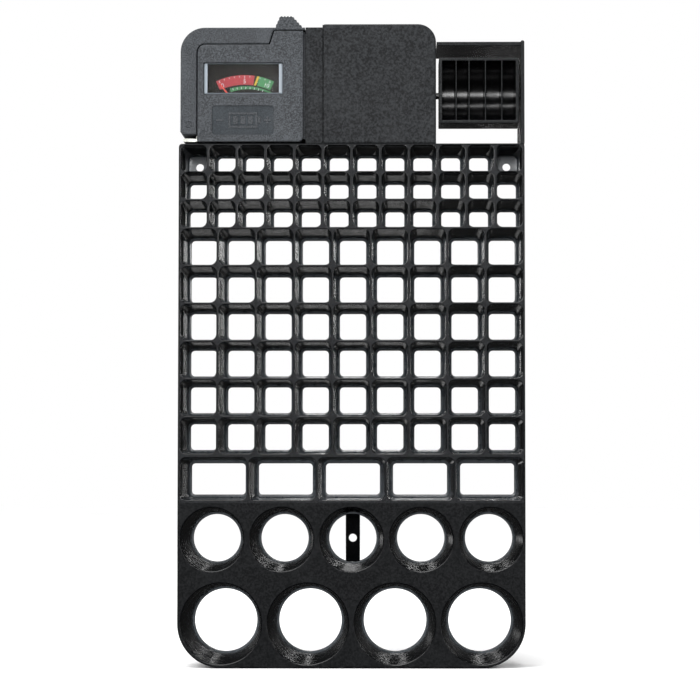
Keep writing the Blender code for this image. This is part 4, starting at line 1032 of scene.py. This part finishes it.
ARM_LOW, ARM_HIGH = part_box("test_arm")
ARM_LIMB = 8.35 * MM
ARM_TOP = 329.1 * MM
ARM_CORNER = 12.6 * MM
ARM_WALL = 1.7 * MM
ARM_SEAM = 0.45 * MM
TAB_X = (-39.4 * MM, -25.4 * MM)
RIB_SHAPE = ((0.12, 0.0), (0.3, 0.85), (0.5, 1.0), (0.7, 0.85), (0.88, 0.0))
ARM_RINGS = ((-83.9, 278.8, 1.7), (-83.6, 316.4, 1.5))
BAR_END = -24.15 * MM
STRIP_LOW, STRIP_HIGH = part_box("arm_contact")


def arm_outline():
    left, bottom = ARM_LOW[0], ARM_LOW[2]
    inner_x, inner_z = left + ARM_LIMB, HEAD_SHOULDER + ARM_SEAM
    bend, chamfer = HEAD_CORNER + ARM_SEAM, 1.3 * MM
    strip_z = HEAD_Z[1] + ARM_SEAM
    return [
        (left + chamfer, bottom),
        (inner_x, bottom),
        *reversed(arc(inner_x + bend, inner_z - bend, bend, 90, 180, 10)),
        (NECK_X - ARM_SEAM, inner_z),
        (NECK_X + NECK_RUN - ARM_SEAM, strip_z),
        (BAR_END, strip_z),
        (BAR_END, ARM_TOP),
        *arc(left + ARM_CORNER, ARM_TOP - ARM_CORNER, ARM_CORNER, 90, 180, 20),
        (left, bottom + chamfer),
    ]


def tab_outline():
    """The thumb tab with ribs on its slope and on its top."""
    foot, top = ARM_TOP - 0.8 * MM, ARM_HIGH[2]
    right, flat_right, flat_left, left = TAB_X[1], -30.5 * MM, -37.0 * MM, TAB_X[0]
    points, slope_foot = [(left, foot), (right, foot)], ARM_TOP + 0.4 * MM
    for start, end, count, rib in (
        ((right, slope_foot), (flat_right, top), 4, 0.45 * MM),
        ((flat_right, top), (flat_left, top), 4, 0.45 * MM),
        ((flat_left, top), (left, slope_foot), 3, 0.25 * MM),
    ):
        way = Vector(end) - Vector(start)
        out = Vector((way.y, -way.x)).normalized()
        for step in range(count):
            for share, lift in RIB_SHAPE:
                spot = Vector(start) + way * ((step + share) / count) + out * rib * (lift - 1.0)
                points.append((spot.x, spot.y))
    return points


def make_arm():
    bm = bmesh.new()
    front, back = ARM_LOW[1], ARM_HIGH[1]
    slab(bm, arm_outline(), front, back, 0.6 * MM, 0.4 * MM)
    arm = raw_object(bm, "slide_arm")
    carve_slab(arm, tab_outline(), front + 0.3 * MM, back, 0.12 * MM, 0.12 * MM, 2, operation="UNION")
    carve_box(arm, RAIL_LOW, RAIL_HIGH, "UNION")
    left, behind = ARM_LOW[0], back + MM
    limb_low = (left + ARM_WALL, front + ARM_WALL, ARM_LOW[2] + ARM_WALL)
    carve_box(arm, limb_low, (left + ARM_LIMB - ARM_WALL, behind, ARM_TOP - ARM_CORNER))
    bar_low = (left + ARM_CORNER, front + ARM_WALL, HEAD_SHOULDER + ARM_SEAM + ARM_WALL)
    carve_box(arm, bar_low, (RAIL_LOW[0] - 2 * MM, behind, ARM_TOP - ARM_WALL))
    inner_x, room = left + ARM_LIMB, ARM_SEAM
    recess_low = (inner_x - MM, STRIP_LOW[1] - room, ARM_LOW[2] - MM)
    carve_box(arm, recess_low, (inner_x + MM, STRIP_HIGH[1] + room, STRIP_HIGH[2] + room))
    finish_piece(arm, "arm", (TESTER_SKIN,), ["test_arm"])
    bm = bmesh.new()
    for cx, cz, radius in ARM_RINGS:
        outer = radius * MM
        ring_band(bm, cx * MM, cz * MM, outer, outer - 0.35 * MM, front, front + 0.2 * MM)
    piece(bm, "arm_rings", "arm", (TESTER_SKIN,))


def make_arm_strip():
    """The arm's contact: a flat spring strip, rolled under the end of the limb."""
    left, right = STRIP_LOW[0], STRIP_HIGH[0]
    thick, bottom = 0.45 * MM, STRIP_LOW[2]
    foot_top = bottom + 1.9 * MM
    bend = (foot_top - bottom) / 2
    outline = [
        (right, STRIP_HIGH[2]),
        (right - thick, STRIP_HIGH[2]),
        (right - thick, foot_top),
        *arc(left + bend, foot_top - bend, bend, 90, 270, 20),
        *arc(right - bend, bottom + bend, bend, 270, 360, 10),
    ]
    bm = bmesh.new()
    slab(bm, outline, STRIP_LOW[1], STRIP_HIGH[1], 0.12 * MM, 0.12 * MM, steps=2)
    piece(bm, "arm_strip", "arm", (STEEL,), ["arm_contact"])


# --- window, dial and needle ---

BAND_CENTRE = (METER_X, 269.4 * MM)
BAND_OUTER, BAND_INNER = 35.6 * MM, 30.6 * MM
LOW_OUTER, LOW_INNER = (29.6 * MM, 30.0 * MM), (27.6 * MM, 29.2 * MM)
PRINT_STEP = 0.06 * MM
# Angles in degrees to the right of straight up.
RED_TURN, YELLOW_TURN, GREEN_TURN, LOW_TURN = (-24.6, 8.4), (9.0, 10.9), (12.2, 25.4), (-15.0, 27.5)
YELLOW_LEAN = 1.6
TICK_START, LOW_TICK_START, TICK_TURN, TICK_AT_YELLOW = -22.0, -12.0, 4.4, 7
NUMBER_TURN, NUMBER_RADIUS = 20.6, 32.2 * MM
NEEDLE_LEAN = 38.4
NEEDLE_HALVES = ((0, 0.8), (8, 0.55), (14, 0.42), (20.3, 0.3), (20.9, 0.12))


def make_window():
    low, high = WINDOW_LOW, WINDOW_HIGH
    bevel_x, bevel_z, depth = 1.75 * MM, 0.45 * MM, 0.75 * MM
    bm = bmesh.new()
    centre, wide, tall = centre_of(low, high), high[0] - low[0], high[2] - low[2]
    outer = rounded_rect(*centre, wide, tall, 0.4 * MM, 3)
    inner = rounded_rect(*centre, wide - 2 * bevel_x, tall - 2 * bevel_z, 0.2 * MM, 3)
    front = loop_at(bm, inner, low[1])
    side = loop_at(bm, outer, low[1] + depth)
    back = loop_at(bm, outer, high[1])
    bm.faces.new(front)
    # The bevel takes the painted reflection.
    skin(bm, front, side, 1)
    skin(bm, side, back)
    bm.faces.new(back)
    window = piece(bm, "lens", "tester", (LENS, LENS_PAINTED_REFLECTION), ["window"])
    window.data.shade_flat()


def band(bm, start, end, outer, inner, y_front, look, lean=0.0, steps=24):
    """A flat printed band between two angles, in degrees to the right of straight up. Each edge may
    narrow the band: outer and inner are radii, or pairs of radii at the start and the end."""
    (cx, cz), thick = BAND_CENTRE, 0.05 * MM
    outer = outer if isinstance(outer, tuple) else (outer, outer)
    inner = inner if isinstance(inner, tuple) else (inner, inner)
    columns = []
    for i in range(steps + 1):
        share = i / steps
        column = []
        for radii, slant in ((outer, lean), (inner, 0.0)):
            angle = math.radians(start + (end - start) * share + slant)
            radius = radii[0] + (radii[1] - radii[0]) * share
            x, z = cx + radius * math.sin(angle), cz + radius * math.cos(angle)
            column.append([bm.verts.new((x, y, z)) for y in (y_front, y_front + thick)])
        columns.append(column)
    for first, second in zip(columns, columns[1:]):
        (a, a_back), (b, b_back) = first
        (c, c_back), (d, d_back) = second
        sides = ((a, a_back, c_back, c), (b, d, d_back, b_back))
        for corners in ((a, c, d, b), (a_back, b_back, d_back, c_back), *sides):
            bm.faces.new(corners).material_index = look
    for (a, a_back), (b, b_back) in (columns[0], columns[-1]):
        bm.faces.new((a, b, b_back, a_back)).material_index = look


def make_dial_print():
    bm = bmesh.new()
    y = DIAL_LOW[1] - PRINT_STEP
    band(bm, *RED_TURN, BAND_OUTER, BAND_INNER, y, 0)
    band(bm, *YELLOW_TURN, BAND_OUTER, BAND_INNER, y, 1, lean=YELLOW_LEAN, steps=4)
    band(bm, *GREEN_TURN, BAND_OUTER, BAND_INNER, y, 2, steps=12)
    band(bm, *LOW_TURN, LOW_OUTER, LOW_INNER, y, 2)
    piece(bm, "dial_bands", "tester", (DIAL_RED, DIAL_YELLOW, DIAL_GREEN))
    bm = bmesh.new()
    y -= PRINT_STEP
    for tick in range(11):
        angle = TICK_START + tick * TICK_TURN
        inner = BAND_INNER + (3.3 if tick % 5 == 0 else 3.9) * MM
        if tick != TICK_AT_YELLOW:
            band(bm, angle - 0.25, angle + 0.25, BAND_OUTER - 0.4 * MM, inner, y, 0, steps=1)
    for tick in range(8):
        angle = LOW_TICK_START + tick * TICK_TURN
        band(bm, angle - 0.3, angle + 0.3, 29.4 * MM, 28.4 * MM, y, 0, steps=1)
    piece(bm, "dial_ticks", "tester", (DIAL_WHITE,))
    for number, angle in (("0", -NUMBER_TURN), ("5", 0.0), ("10", NUMBER_TURN)):
        words = bpy.data.curves.new(f"dial_number_{number}", "FONT")
        words.body = number
        words.size = 3.0 * MM
        words.extrude = 0.03 * MM
        words.align_x, words.align_y = "CENTER", "CENTER"
        words.materials.append(DIAL_WHITE)
        made = place(f"dial_number_{number}", words)
        (cx, cz), turn = BAND_CENTRE, math.radians(angle)
        made.location = (cx + NUMBER_RADIUS * math.sin(turn), y, cz + NUMBER_RADIUS * math.cos(turn))
        made.rotation_euler = (math.pi / 2, turn, 0)
        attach(made, "tester")


def make_needle():
    low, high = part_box("needle")
    lean = math.radians(NEEDLE_LEAN)
    up = Vector((-math.sin(lean), math.cos(lean)))
    side = Vector((up.y, -up.x))
    hub = Vector((METER_X, METER_Z))
    middle = (low[1] + high[1]) / 2
    bm = bmesh.new()
    outline = [(along * MM, half * MM) for along, half in NEEDLE_HALVES]
    right = [hub + up * a + side * h for a, h in outline]
    left = [hub + up * a - side * h for a, h in reversed(outline)]
    tail = [hub - up * a * MM + side * h * MM for a, h in ((4.2, -1.1), (4.9, -0.9), (4.9, 0.9), (4.2, 1.1))]
    slab(bm, [tuple(p) for p in right + left + tail], low[1], high[1], 0.06 * MM, 0.06 * MM, steps=2)
    needle = raw_object(bm, "pointer")
    disc = bmesh.new()
    lathe_y(disc, tuple(hub), ((1.9 * MM, low[1]), (2.0 * MM, middle), (1.9 * MM, high[1])), 40)
    carve(needle, disc, "UNION")
    eye = bmesh.new()
    lathe_y(eye, tuple(hub), ((0.85 * MM, low[1] - MM), (0.85 * MM, high[1] + MM)), 32)
    carve(needle, eye)
    finish_piece(needle, "meter", (NEEDLE_RED,), ["needle"])


def dress_cad():
    """Better materials for the CAD pieces that keep their own shape."""
    looks = {
        STEEL: ("cell_contact", "button_contact", "front_pivot", "rear_pivot", "arm_spring"),
        BRASS: ("front_bridge", "rear_bridge", "hairspring"),
        DARK_STEEL: ("core_magnet", "meter_yoke"),
        COPPER: ("moving_coil",),
        DIAL_BLACK: ("dial_plate",),
        BOARD: ("circuit_board",),
        RESISTOR: ("cell_load_resistor", "button_load_resistor"),
    }
    for look, names in looks.items():
        for name in names:
            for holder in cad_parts[name].material_slots:
                holder.material = look


# --- stage, light and camera ---

FLOOR_REACH = 6.0
SURROUND, BACKDROP = 0.02, 1.0
SUN_POWER, SUN_SPREAD, SUN_WAY = 3.9, 50, (0.22, 0.42, -1.0)
MIDDLE = (0, 0, 0.17)
STRIP_BEHIND = 1.1
# Name, place, aim, size and power of each studio lamp.
LAMPS = (
    ("key", (-0.8, -1.1, 0.75), MIDDLE, (0.45, 0.7), 7),
    ("fill", (1.0, -0.9, 0.35), MIDDLE, (0.3, 0.9), 5),
    ("front_lamp", (-0.01, -1.1, 0.37), (0.0, 0.0, 0.24), (0.18, 0.22), 3.0),
    ("low_strip", (-0.08, STRIP_BEHIND, 0.04), (-0.08, 0.0, 0.04), (0.27, 0.05), 0.035),
    ("back_right", (1.0, 0.9, 0.8), MIDDLE, (0.5, 0.8), 12),
    ("back_left", (-1.0, 0.8, 0.6), MIDDLE, (0.4, 0.8), 9),
)
# X, lowest point, height, width and brightness of the strips that the glossy cell walls mirror.
STRIPS = (
    (0.098, 0.32, 0.50, 0.003, 7.0),
    (0.121, 0.15, 0.60, 0.002, 6.0),
    (0.144, 0.25, 0.50, 0.003, 7.0),
    (0.165, 0.05, 0.60, 0.003, 3.0),
    (-0.060, 0.20, 0.50, 0.004, 5.0),
    (-0.084, 0.30, 0.40, 0.005, 5.0),
)
CAMERA_SPOT = (26.5 * MM, FRONT - 1.065, 96.0 * MM)
CAMERA_AIM = (17.2 * MM, FRONT, 137.2 * MM)
LENS_LENGTH = 107.07
SHIFT = (-0.05, 0.07)


def turn_to(made, way):
    made.rotation_euler = Vector(way).to_track_quat("-Z", "Y").to_euler()


def aim_from(made, spot, aim):
    made.location = spot
    turn_to(made, Vector(aim) - Vector(spot))


def make_floor():
    """A wide pale floor, kept out of glossy reflections so that the cells' upper walls stay black."""
    nodes = Nodes("pale_floor")
    tone = nodes.mix(nodes.noise(3.0), (0.95, 0.95, 0.95), (0.98, 0.98, 0.98))
    look = set_look(nodes, tone, nodes.ramp(nodes.noise(9.0), 0.7, 0.85))
    height = D_LOW[2] - 0.3 * MM
    signs = ((-1, -1), (1, -1), (1, 1), (-1, 1))
    corners = [(sx * FLOOR_REACH, sy * FLOOR_REACH, height) for sx, sy in signs]
    mesh = bpy.data.meshes.new("floor")
    mesh.from_pydata(corners, [], [(0, 1, 2, 3)])
    mesh.materials.append(look)
    floor = place("floor", mesh)
    floor.visible_glossy = False


def area_light(name, spot, aim, size, power):
    light = bpy.data.lights.new(name, "AREA")
    light.shape = "RECTANGLE"
    light.size, light.size_y = size
    light.energy = power
    aim_from(place(name, light), spot, aim)


def make_world():
    """The camera sees a white backdrop, and everything else a dark room."""
    world = bpy.data.worlds.new("studio")
    world.use_nodes = True
    tree = world.node_tree
    background = tree.nodes["Background"]
    background.inputs["Color"].default_value = (1.0, 1.0, 1.0, 1.0)
    ray = tree.nodes.new("ShaderNodeLightPath")
    strength = tree.nodes.new("ShaderNodeMapRange")
    strength.inputs["To Min"].default_value = SURROUND
    strength.inputs["To Max"].default_value = BACKDROP
    tree.links.new(ray.outputs["Is Camera Ray"], strength.inputs["Value"])
    tree.links.new(strength.outputs["Result"], background.inputs["Strength"])
    bpy.context.scene.world = world
    bpy.context.scene.view_settings.view_transform = "Standard"


def make_light():
    make_world()
    sun = bpy.data.lights.new("overhead", "SUN")
    sun.energy = SUN_POWER
    sun.angle = math.radians(SUN_SPREAD)
    turn_to(place("overhead", sun), SUN_WAY)
    for lamp in LAMPS:
        area_light(*lamp)
    for number, (x, low, tall, wide, glow) in enumerate(STRIPS, 1):
        spot = (x, STRIP_BEHIND, low + tall / 2)
        area_light(f"strip_{number}", spot, (x, 0, spot[2]), (wide, tall), glow * math.pi * wide * tall)


def make_camera():
    lens = bpy.data.cameras.new("camera")
    lens.sensor_width = 36.0
    lens.lens = LENS_LENGTH
    lens.shift_x, lens.shift_y = SHIFT
    camera = place("camera", lens)
    aim_from(camera, CAMERA_SPOT, CAMERA_AIM)
    bpy.context.scene.camera = camera


make_camera()
make_light()
make_floor()
make_tray()
make_screw_bar()
make_dock()
make_bay()
make_bin()
make_front_case()
make_rear_case()
make_plaque()
make_screws()
make_contacts()
make_arm()
make_arm_strip()
make_window()
make_dial_print()
make_needle()
dress_cad()
